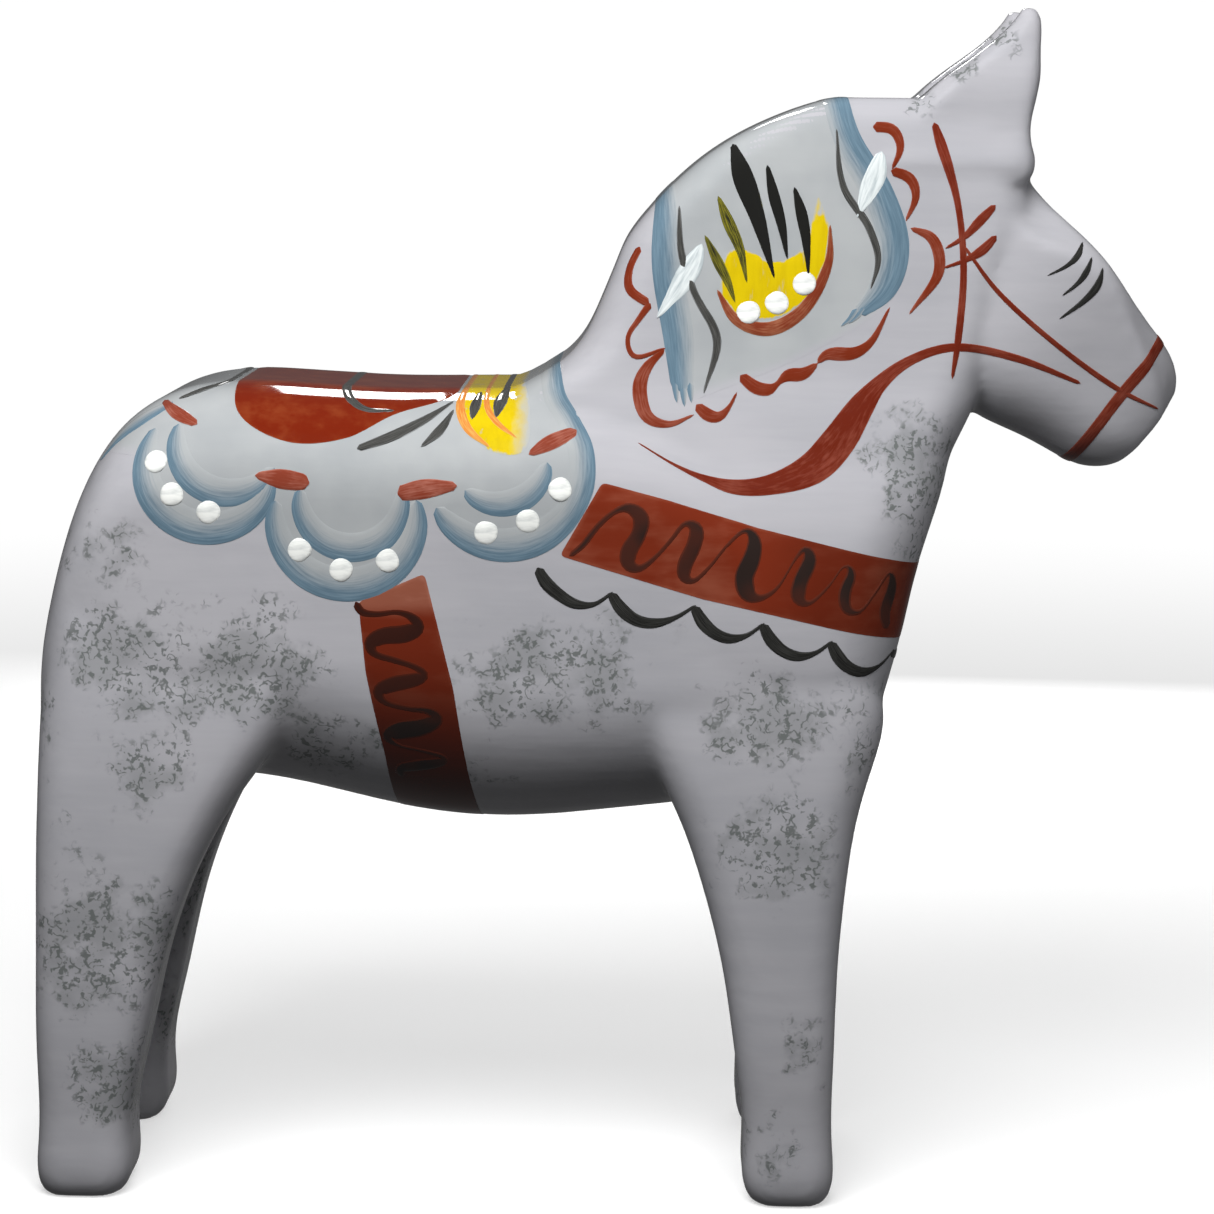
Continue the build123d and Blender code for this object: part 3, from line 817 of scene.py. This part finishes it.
def rounded(*corners):
    """A closed side-view outline through the corners, in short steps, with its corners eased."""
    out = []
    count = len(corners)
    for i in range(count):
        before, corner, after = (np.array(corners[k % count], float) for k in (i - 1, i, i + 1))
        start = corner + (before - corner) * CORNER_RADIUS / np.linalg.norm(before - corner)
        end = corner + (after - corner) * CORNER_RADIUS / np.linalg.norm(after - corner)
        for t in (0, 0.25, 0.5, 0.75, 1):
            out.append((1 - t) ** 2 * start + 2 * t * (1 - t) * corner + t**2 * end)
    out.append(out[0])
    dense = []
    for a, b in zip(out, out[1:]):
        steps = max(1, int(np.linalg.norm(b - a) / OUTLINE_STEP))
        dense += [tuple(a + (b - a) * k / steps) for k in range(steps)]
    return dense


def curve(*points):
    """Side-view points on a smooth curve. It leaves out its end, so that another can follow."""
    return [tuple(p) for p in spline(points)[:-1]]


def pressed(spread, stations):
    """The same stroke by a brush that was pressed wider."""
    return [(x, z, spread * breadth) for x, z, breadth in stations]


def blot(*points):
    """A closed side-view outline that runs smoothly through the points."""
    ring = [(x, z, 0) for x, z in points]
    smooth = spline([*ring[-2:], *ring, *ring[:2]])
    start = next(i for i, p in enumerate(smooth) if np.allclose(p, ring[0]))
    end = max(i for i, p in enumerate(smooth) if np.allclose(p, ring[0]))
    return [(p[0], p[1]) for p in smooth[start:end]]


def circle(centre, radius):
    return [on_circle(centre, radius, turn) for turn in np.linspace(0, 2 * math.pi, 120, endpoint=False)]


def chest_band(film):
    upper = [(-10, 138), (-1.5, 153), (12, 149.5), (30, 144), (58, 137.5), (90, 129)]
    film.area(NECK, UNDERNEATH, rounded(*upper, (90, 112), (58, 121), (19, 129.5)))


def chest_wave(film):
    wave = (
        (-8, 138, 0.9), (-5.5, 140, 1.2), (-2, 144.5, 1.1), (1.5, 147.4, 1.1), (4, 148, 2),
        (6.5, 146, 3.1), (6, 142.5, 2.9), (4, 139, 3.2), (4, 136.5, 2.8), (6, 135.5, 1.6),
        (9, 137.5, 0.9), (13, 142, 0.8), (15.5, 145, 1.1), (17.7, 144, 2.6), (17.3, 140.5, 2.9),
        (15.5, 136.5, 2.9), (15.4, 134, 2.4), (17, 133, 1.2), (20, 135.5, 0.7), (24.5, 141, 0.6),
        (28, 143.5, 1.2), (29.6, 141.5, 2.6), (29, 137.5, 3.5), (27.6, 134, 3.7), (28.4, 130.7, 3.3),
        (30.5, 129.7, 1.6), (34, 131.5, 0.7), (38.3, 138.3, 0.6), (40, 140, 1.5), (41, 138, 2.6),
        (39, 133, 2.9), (38.7, 130, 2.8), (40.5, 128.7, 1.2), (44.5, 132, 0.5), (48.3, 136.8, 0.6),
        (49.5, 135.3, 1.7), (48.1, 131, 2.4), (48.6, 127.7, 2), (51, 127, 0.9), (54.5, 131, 0.5),
        (57.4, 135, 1), (58, 132, 2.8), (56.6, 126.5, 3.1), (57.4, 123.2, 1.8),
    )
    film.stroke(*pressed(1.12, wave))


def chest_fringe(film):
    tops = [(-14.5, 135.5), (0.5, 130.5), (17.5, 128), (31.5, 124.5), (45.5, 121), (58.5, 117.5)]
    drop = 5.0  # how far a scallop hangs below the line between its ends
    for (x0, z0), (x1, z1) in zip(tops, tops[1:]):
        reach = x1 - x0
        film.stroke(
            (x0, z0, 1.8),
            (x0 + 0.12 * reach, z0 - 0.62 * drop, 2.7),
            (x0 + 0.30 * reach, z0 - 1.10 * drop, 2.5),
            (x0 + 0.52 * reach, (z0 + z1) / 2 - 0.98 * drop, 2.1),
            (x0 + 0.78 * reach, z1 - 0.48 * drop, 1),
            (x1 + 0.4, z1 + 0.2, 0.6),
        )
    film.stroke((58.5, 117.5, 1.6), (62, 115.2, 2.4), (70, 114.6, 2.4), (80, 114.5, 2.4))


def girth_band(film):
    rear = [(-51, 128), (-49.5, 113.5), (-46, 96), (-43, 70)]
    front = [(-25, 70), (-28.5, 90), (-31.5, 110), (-37.5, 134)]
    film.area(TRUNK, UNDERNEATH, rounded(*rear, *front))


def girth_wave(film):
    wave = (
        (-51.5, 128, 1.2), (-50.5, 126, 1.3), (-47, 125.5, 1), (-43, 126, 0.9), (-40, 125, 1.5),
        (-38.6, 123, 2.4), (-41.5, 121.5, 3.1), (-46, 121, 2.9), (-48.5, 119.5, 2.4),
        (-48, 117.5, 1.4), (-43.5, 116, 1.1), (-39, 114.5, 1.1), (-37.2, 113, 1.6), (-39.5, 112, 2.4),
        (-44, 111, 2.7), (-47, 109.5, 2.1), (-46, 107.5, 1.2), (-41, 106, 1), (-36.5, 105.5, 1.4),
        (-34.7, 104, 2.3), (-38, 102, 3.3), (-43, 101, 3.5), (-45.4, 99.8, 2.2), (-43.5, 98, 0.8),
        (-37.5, 96.5, 0.7), (-33.2, 95, 1.2), (-34.7, 94, 2.1), (-39.5, 93, 2.6), (-43, 92, 2),
        (-42.5, 90, 0.9),
    )
    film.stroke(*pressed(1.25, wave))


REAR_LOBE = (-81.5, 156)
MIDDLE_LOBE = (-53.5, 146)
FRONT_LOBE = (-21.5, 156)


def saddle_cloth(film):
    upper = rounded((-105, 157), (-105, 190), (-13, 190), (-8, 164), (-20, 150), (-66, 142), (-97, 157))
    lobes = [circle(REAR_LOBE, 15.5), circle(MIDDLE_LOBE, 17), circle(FRONT_LOBE, 18.4)]
    film.area(TRUNK, OVER_TOP, upper, *lobes, spacing=1.2, shoulder=3)


def saddle_arcs(film):
    film.stroke(*bow((-77.5, 161), 11, 168, 328, 6))
    film.stroke(*bow((-52.5, 149.5), 10.4, 172, 368, 6))
    film.stroke(*bow((-22.5, 158.2), 9.8, 226, 352, 5.4))
    film.stroke(*bow(REAR_LOBE, 13.3, 152, 346, 7))
    film.stroke(*bow(MIDDLE_LOBE, 14.5, 170, 372, 7))
    lobe = bow(FRONT_LOBE, 16, 212, 350, 7, tail=0.8)
    film.stroke(*lobe, (-6, 159.5, 5.2), (-8.6, 164.8, 4.8), (-11.4, 169, 4.6), (-13, 176, 4.6))
    film.stroke((-105.5, 155, 1.2), (-101.5, 160, 4.6), (-96, 164.2, 5), (-90.5, 167.2, 2.5))


def saddle_drop(film):
    edge = [(-26.5, 176), (-32, 169.5), (-44.5, 165.5), (-54, 161), (-66, 160.3), (-76.5, 166), (-78, 176)]
    film.area(TRUNK, OVER_TOP, [*curve(*edge), edge[-1]])


def saddle_tulip(film):
    top = [(-31, 167.5), (-29, 172.3), (-19, 172.5), (-16.5, 166)]
    film.area(TRUNK, OVER_TOP, blot(*top, (-17.5, 159), (-23, 158.5), (-28.5, 162)))


def saddle_tulip_edges(film):
    film.stroke((-29.8, 171, 1), (-31, 167.5, 1.9), (-29.2, 163.2, 1.9), (-24.5, 159.6, 0.5))
    film.stroke((-25.4, 171.5, 0.7), (-25.6, 167.6, 1.4), (-23.4, 164.4, 1.5), (-19, 161.4, 0.4))


def saddle_veins(film):
    film.stroke(
        (-59.5, 174, 1), (-55.8, 171, 2), (-54, 168.4, 2.3), (-50.5, 166.4, 1.9),
        (-44.5, 166.2, 0.8),
    )
    film.stroke((-89.3, 167.8, 1), (-84.5, 169.6, 2.2), (-77, 171.8, 0.8))
    film.stroke((-51.5, 159, 1.4), (-44.5, 161.5, 2.4), (-38, 164.7, 2), (-32.5, 168, 0.5))
    film.stroke((-38.5, 159.5, 0.6), (-35, 162.5, 2.1), (-32.3, 166.5, 0.5))
    film.stroke((-27.1, 169.6, 0.9), (-27.9, 167.2, 2.4), (-28.4, 164.8, 0.6))
    film.stroke((-21.5, 170.5, 1.2), (-22.8, 168, 2.9), (-23.5, 165.2, 0.6))


def saddle_dashes(film):
    film.stroke((-92.5, 167.2, 1.4), (-88.5, 165, 3), (-84.5, 163.3, 1.6))
    film.stroke((-72, 153.6, 1.2), (-67, 153, 4), (-61, 152.2, 3.2))
    film.stroke((-43, 150.2, 3), (-37.5, 151.3, 4), (-31, 152, 1.6))
    film.stroke((-16.5, 158.3, 1.1), (-12.5, 160.5, 3.4), (-7, 163, 2.6))


def saddle_dots(film):
    film.dots((-92.5, 156), (-89, 149.5), (-81.5, 146))
    film.dots((-63, 138.5), (-54.5, 134.5), (-45, 136.5))
    film.dots((-25, 142.5), (-16.5, 145), (-10, 151.5))


def mane_wash(film):
    rear = [(14, 168), (11, 178), (8.5, 188), (8, 200), (8, 224)]
    front = [(48, 242), (51, 223), (58.5, 211.5), (61, 200), (57, 189.5), (41, 179), (22, 171), (14, 168)]
    film.area(MANE, OVER_TOP, [*curve(*rear), rear[-1], *curve(*front)], spacing=0.9, shoulder=3)


def mane_blue(film):
    film.stroke((10.6, 219, 5.4), (10.6, 208, 5.6), (11.2, 196, 6.4), (13.6, 182, 6.2), (14.6, 170.8, 4.4))
    film.stroke(
        (50.5, 187, 2.4), (55.5, 192.5, 6), (57.3, 200.5, 7), (54.3, 211, 6.6), (47.5, 223, 5.6),
        (44, 237, 5),
    )
    for x, z in ((13.1, 172.6), (14.7, 171.8), (16.1, 172.6)):  # the bristles part at the end of the stroke
        film.stroke((x, z, 1.6), (x + 0.2, z - 2.2, 1.1), (x + 0.4, z - 4, 0.4))
    for x, z in ((51.8, 188.6), (50.2, 188)):
        film.stroke((x, z, 1.4), (x - 1.6, z - 2.4, 0.9), (x - 3.2, z - 3.6, 0.4))


def mane_veins(film):
    film.stroke((13.5, 208.5, 0.5), (14, 199, 1.6), (17, 190.5, 1.5), (21.6, 181.5, 1.8), (19, 170.5, 0.4))
    film.stroke((45.5, 224.5, 0.5), (47, 213, 1.4), (52.5, 204.5, 1.6), (54.5, 198, 1.4), (53, 192, 0.4))


def mane_curls(film):
    film.stroke((5.5, 200, 1.8), (3.4, 195.5, 2), (3.4, 191.5, 2), (7.5, 188.5, 1.8))
    film.stroke((7.8, 188.6, 1.6), (5.4, 185.2, 1.2), (3.2, 181.5, 1), (4.5, 177.7, 1.1), (11, 179.5, 0.6))
    film.stroke(
        (10.8, 179.2, 0.8), (7.2, 175.5, 2.2), (5.8, 171.5, 3), (7.5, 165.6, 2.6), (12, 164.2, 1.4),
        (17, 166.2, 0.4),
    )
    film.stroke(
        (17.5, 168.2, 1.8), (19.8, 166.2, 2.7), (22, 165.7, 2.2), (24.1, 167.6, 1),
        (25.8, 170.8, 0.4),
    )
    film.stroke(
        (26.5, 174.2, 2), (29.8, 171.7, 2.8), (32.6, 171.4, 2.4), (34.1, 172.6, 1),
        (36.3, 174.4, 2.6), (39.1, 174.5, 2.7), (42.3, 176.8, 0.8),
    )
    film.stroke(
        (42.3, 176.8, 0.8), (43.8, 178.5, 2), (46.2, 178.8, 2.8), (49.6, 178.9, 2.5),
        (53, 181, 1.6), (57, 188.4, 0.4),
    )
    film.stroke((53, 225, 2.2), (57, 224.6, 2.2), (58.7, 221, 1.6), (57, 216.5, 0.6))
    film.stroke((56.8, 216.2, 1.8), (60.8, 214.6, 2.2), (62, 211, 1.6), (60, 206, 0.5))
    film.stroke((61, 204.5, 0.8), (65.5, 202.5, 2.2), (67, 196, 2.2), (61, 187, 0.4))


def mane_cup(film):
    rim = [(22, 190.5), (22.5, 197.5), (25, 200), (29, 199), (33, 197.3), (38.5, 199.7), (42, 211)]
    foot = [(42, 211), (44.5, 203), (41, 192), (34, 186), (25.5, 186.8), (22, 190.5)]
    film.area(MANE, OVER_TOP, curve(*rim) + curve(*foot))


def mane_crescent(film):
    film.stroke(
        (21.5, 191.5, 0.6), (25.3, 185.6, 2.2), (32, 183.6, 2.9), (39, 187.4, 2.6),
        (44.2, 197, 1.8), (44.5, 205, 0.4),
    )


def mane_petals(film):
    film.stroke((24.4, 221, 1.2), (26.3, 215, 4.2), (29.5, 206.5, 3.2), (33.2, 194, 0.4))
    film.stroke((31.4, 217, 0.7), (32.8, 211, 2.3), (34.5, 205, 1.9), (35.8, 198, 0.4))
    film.stroke((37, 212.6, 0.6), (38.5, 207.5, 2.3), (39.6, 202, 1.9), (40.2, 194.5, 0.4))
    film.stroke((21.4, 210.6, 0.6), (23.5, 205.5, 2.4), (26, 200, 1.9), (27.6, 193, 0.4))
    film.stroke((18.8, 202.6, 0.5), (21.4, 197.5, 2.1), (23.6, 193.3, 1.7), (25.2, 189, 0.4))


def mane_leaves(film):
    film.stroke((18.2, 200.8, 1), (16.6, 197, 4), (14, 192.8, 4.4), (11.6, 189, 2.6), (9.2, 185.6, 0.4))
    film.stroke(
        (54.8, 220, 1.4), (53.8, 216, 4.4), (52.6, 212.6, 4.4), (51.2, 209.4, 2.4),
        (50, 206.6, 0.4),
    )


def mane_dots(film):
    film.dots((28, 187), (33.8, 189), (39.4, 193))


def bridle_straps(film):
    film.stroke(
        (65.5, 226, 1.2), (67, 221.5, 2.2), (70.5, 210, 1.4), (72, 196, 1.4), (71, 181, 1.4),
        (70, 174, 0.6),
    )
    film.stroke((72, 201, 0.6), (79, 192, 1), (91, 181.5, 1.1), (105.5, 171.5, 1.1), (114, 167.5, 0.5))
    film.stroke((78.3, 209.4, 1.2), (75.3, 206.3, 2), (72, 202.8, 1.2), (68.2, 200.5, 0.5))
    film.stroke((78.6, 203.2, 1.2), (75.8, 200.2, 2), (72, 198, 1), (67.8, 196.5, 0.5))


def rein(film):
    film.stroke(
        (5.7, 160.6, 0.3), (12.9, 156.5, 0.7), (19.1, 153.7, 1.7), (25.2, 152, 3.1), (32.7, 152.5, 4.3),
        (41.5, 155.9, 6.8), (46.6, 161.2, 7), (51.2, 168.1, 5.4), (54.8, 172.6, 3.4), (59.9, 176.8, 2.2),
        (66.7, 179.8, 1.8), (72, 180.4, 1.7), (84, 178, 1.5), (97, 173, 0.8),
    )


def noseband(film):
    film.stroke((118.5, 187, 2.6), (112, 178.2, 2.6), (105, 169.5, 2.5), (98.5, 160, 2.5), (93, 151, 2.5))


def eye_lashes(film):
    film.stroke((96.6, 202, 0.4), (95.4, 199.4, 1.3), (93.2, 197.3, 0.8), (89.2, 195.2, 0.3))
    film.stroke((98.3, 199, 0.4), (97.1, 195.9, 1.3), (95.4, 193.6, 0.9), (92.4, 191.2, 0.3))
    film.stroke((100.6, 196.9, 0.4), (99.6, 193.2, 1.6), (96.8, 190, 1.2), (92, 186.4, 0.3))


# In the painter's order: the node, its strokes, its slot, its height in millimetres and its paint.
FILMS = (
    ("chest_band", chest_band, "red_paint", 0.12, chest_red),
    ("chest_wave", chest_wave, "dark_paint", 0.20, chest_ink),
    ("chest_fringe", chest_fringe, "black_paint", 0.12, black),
    ("girth_band", girth_band, "red_paint", 0.12, girth_red),
    ("girth_wave", girth_wave, "dark_paint", 0.20, girth_ink),
    ("saddle_cloth", saddle_cloth, "pale_paint", 0.05, wash),
    ("saddle_arcs", saddle_arcs, "blue_paint", 0.12, blue),
    ("saddle_drop", saddle_drop, "bright_red_paint", 0.20, bright_red),
    ("saddle_tulip", saddle_tulip, "yellow_paint", 0.16, fading_yellow),
    ("saddle_tulip_edges", saddle_tulip_edges, "orange_paint", 0.20, orange),
    ("saddle_veins", saddle_veins, "black_paint", 0.24, vein),
    ("saddle_dashes", saddle_dashes, "red_paint", 0.24, dash),
    ("saddle_dots", saddle_dots, "white_paint", 0.16, white),
    ("mane_wash", mane_wash, "pale_paint", 0.05, wash),
    ("mane_blue", mane_blue, "blue_paint", 0.12, deep_blue),
    ("mane_veins", mane_veins, "black_paint", 0.18, vein),
    ("mane_curls", mane_curls, "red_paint", 0.14, curl_red),
    ("mane_cup", mane_cup, "yellow_paint", 0.16, yellow),
    ("mane_crescent", mane_crescent, "red_paint", 0.22, thin_red),
    ("mane_petals", mane_petals, "black_paint", 0.26, petal),
    ("mane_leaves", mane_leaves, "white_paint", 0.20, leaf),
    ("mane_dots", mane_dots, "white_paint", 0.24, white),
    ("bridle_straps", bridle_straps, "red_paint", 0.14, red),
    ("rein", rein, "red_paint", 0.14, red),
    ("noseband", noseband, "red_paint", 0.14, red),
    ("eye_lashes", eye_lashes, "black_paint", 0.14, black),
)
for node, draw, slot, lift, paint in FILMS:
    film = Film(node, slot, lift)
    draw(film)
    film.piece(paint)

# --- Wood ---
# Where the maker dabbed the sponge: (x, z, half length, half height) in millimetres, on each side,
# and how heavily.
SPONGED = (
    (-99, 116, 11, 11, 0.85), (-75, 113, 15, 10, 0.95), (-88, 109, 12, 7, 0.8),
    (-84, 122, 18, 6, 0.6), (-104, 136, 8, 9, 0.5), (-68, 126, 9, 4, 0.45), (-95, 92, 9, 9, 0.7),
    (-103, 55, 15, 14, 0.9), (-102, 25, 8, 11, 0.75), (-116, 100, 3, 12, 0.5), (-112, 76, 4, 10, 0.4),
    (-11, 116, 17, 9, 0.85), (-9, 107, 14, 5, 0.75), (-23, 106, 9, 8, 0.5), (-56, 97, 10, 6, 0.6),
    (-32, 92, 14, 4, 0.35), (33, 104, 14, 10, 0.9), (35, 79, 12, 12, 0.9), (52, 102, 6, 11, 0.6),
    (43, 35, 5, 9, 0.45), (34, 14, 6, 8, 0.35), (62, 154, 9, 12, 0.85), (67, 140, 6, 8, 0.5),
    (79, 245, 4, 5, 0.8), (72, 238, 4, 5, 0.7), (63, 230, 4, 4, 0.5), (2, 124, 12, 4, 0.3),
)


def sponge_mask(co):
    """How much of the sponge's colour each point of the skin got, from 0 to 1."""
    total = np.zeros(len(co))
    for x, z, half_length, half_height, weight in SPONGED:
        away = ((co[:, 0] / MM - x) / half_length) ** 2 + ((co[:, 2] / MM - z) / half_height) ** 2
        total = np.maximum(total, weight * np.exp(-0.8 * away**1.5))
    return total


def wood_pieces(material):
    """Cuts the skin at the glue planes and caps the cuts, keeping one shading over the seams."""
    bm = bmesh.new()
    bm.from_mesh(skin)
    for side in (-1, 1):
        geom = bm.verts[:] + bm.edges[:] + bm.faces[:]
        at = (0, side * SEAM, 0)
        bmesh.ops.bisect_plane(bm, geom=geom, dist=1e-7, plane_co=at, plane_no=(0, 1, 0))
    bm.normal_update()
    spans = {"right_board": (-1, -SEAM), "centre_board": (-SEAM, SEAM), "left_board": (SEAM, 1)}
    for node, (low, high) in spans.items():
        board = bm.copy()
        smooth = board.verts.layers.float_vector.new("smooth")
        for v in board.verts:
            v[smooth] = v.normal
        outside = [f for f in board.faces if not low < f.calc_center_median().y < high]
        bmesh.ops.delete(board, geom=outside, context="FACES")
        cap = board.faces.layers.int.new("cap")
        for plane in (low, high):
            rim = [e for e in board.edges if e.is_boundary and abs(e.verts[0].co.y - plane) < 1e-6]
            if rim:
                for made in bmesh.ops.triangle_fill(board, edges=rim, use_beauty=True)["geom"]:
                    if isinstance(made, bmesh.types.BMFace):
                        made[cap] = 1
        bmesh.ops.recalc_face_normals(board, faces=board.faces)
        mesh = bpy.data.meshes.new(node + "_carved")
        board.to_mesh(mesh)
        board.free()
        finish_wood(node, mesh, material)
    bm.free()


def finish_wood(node, mesh, material):
    """Gives a board its shading, its sponged places and its part in the frame."""
    sides = read(mesh.polygons, "loop_total", kind=np.int32)
    owner = np.repeat(np.arange(len(mesh.polygons)), sides)
    on_cap = read(mesh.attributes["cap"].data, "value", kind=np.int32)[owner] > 0
    flat = read(mesh.polygons, "normal", 3)[owner]
    corners = read(mesh.loops, "vertex_index", kind=np.int32)
    smooth = read(mesh.attributes["smooth"].data, "vector", 3)[corners]
    split = np.where(on_cap[:, None], flat, smooth)
    for name in ("smooth", "cap"):
        mesh.attributes.remove(mesh.attributes[name])
    mesh.polygons.foreach_set("use_smooth", [True] * len(mesh.polygons))
    mesh.normals_split_custom_set(split.tolist())
    attribute = mesh.attributes.new("sponge", "FLOAT", "POINT")
    mask = sponge_mask(read(mesh.vertices, "co", 3, float))
    attribute.data.foreach_set("value", mask.astype(np.float32))
    mesh.materials.append(material)
    piece = mesh_object(node + "_carved", mesh)
    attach(piece, "root")
    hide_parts(node)


wood_pieces(grey_wood())

# --- Stage ---
STAGE = 3.0  # radius of the floor and of the backdrop
STAGE_NEAR = 0.20  # the floor takes the horse's shadow up to here
STAGE_FAR = 1.20  # and is as even as the backdrop from here on


def paper(name, near, far):
    """Pale paper that glows a little: near the horse it takes shadows, and farther off it is even."""
    g = Graph(name)
    away = g.node("ShaderNodeVectorMath", {0: g.place}, operation="LENGTH").outputs["Value"]
    grain = g.times(g.noise(g.place, 3.0), 0.004)
    spread = g.remap(away, STAGE_NEAR, STAGE_FAR)
    glow = g.plus(g.plus(g.times(spread, far - near), near), grain)
    g.tree.links.new(glow, g.shader.inputs["Emission Strength"])
    g.shader.inputs["Emission Color"].default_value = colour(1.0, 1.0, 1.0)
    return g.finish(g.mix(spread, colour(0.5, 0.5, 0.5), colour(0.0, 0.0, 0.0)), 0.9, coat=0.0)


def stage_piece(name, bm, material):
    """A pale surface that the camera sees, and that throws no light back onto the horse."""
    mesh = bpy.data.meshes.new(name)
    bm.to_mesh(mesh)
    bm.free()
    mesh.materials.append(material)
    piece = mesh_object(name, mesh)
    piece.visible_diffuse = False
    piece.visible_glossy = False
    piece.visible_shadow = False
    return piece


def add_stage():
    floor = bmesh.new()
    bmesh.ops.create_circle(floor, cap_ends=True, radius=STAGE, segments=96)
    stage_piece("floor", floor, paper("floor_paper", 0.52, 1.01)).location.z = cad_low.z
    dome = bmesh.new()
    bmesh.ops.create_icosphere(dome, subdivisions=4, radius=STAGE)
    stage_piece("backdrop", dome, paper("backdrop_paper", 1.01, 1.01))


def add_light(name, at, aim, size, watts, glints=True, lights=True):
    data = bpy.data.lights.new(name, "AREA")
    data.shape = "RECTANGLE"
    data.size, data.size_y = size
    data.energy = watts
    light = bpy.data.objects.new(name, data)
    bpy.context.scene.collection.objects.link(light)
    light.visible_camera = False
    light.visible_glossy = glints
    light.visible_diffuse = lights
    turn = (Vector(aim) - Vector(at)).to_track_quat("-Z", "Y").to_matrix().to_4x4()
    light.matrix_world = Matrix.Translation(at) @ turn


# Light of the surroundings: the axis of its direction, where it starts, where it is full, and the
# strengths at those two
GLOWS = (
    (2, 0.15, 1.0, 0.04, 0.10),  # overhead
    (1, 0.70, 1.0, 0.00, 0.05),  # behind
    (2, -0.20, -0.9, 0.00, 0.06),  # up from the floor
)


def add_world():
    world = bpy.data.worlds.new("studio")
    sky = Tree(world)
    direction = sky.node("ShaderNodeTexCoord", {}).outputs["Generated"]
    total = 0.0
    for axis, *glow in GLOWS:
        total = sky.plus(sky.remap(sky.axis(direction, axis), *glow, ramp="LINEAR"), total)
    background = sky.tree.nodes["Background"]
    sky.tree.links.new(total, background.inputs["Strength"])
    background.inputs["Color"].default_value = (1, 1, 1, 1)
    bpy.context.scene.world = world


add_stage()
add_world()
add_light("overhead", (-0.110, 0.60, 0.72), (-0.04, 0, 0.16), (0.06, 0.28), 0.95, lights=False)
add_light("softbox", (-0.08, -0.32, 0.50), (-0.02, 0, 0.11), (0.36, 0.24), 4.0, glints=False)
add_light("front_softbox", (0.55, -0.12, 0.18), (0.05, 0, 0.13), (0.3, 0.3), 0.55, glints=False)
add_light("back_softbox", (0.05, 0.60, 0.22), (0.0, 0, 0.11), (0.5, 0.3), 3.0, glints=False)
bpy.context.scene.view_settings.view_transform = "Standard"
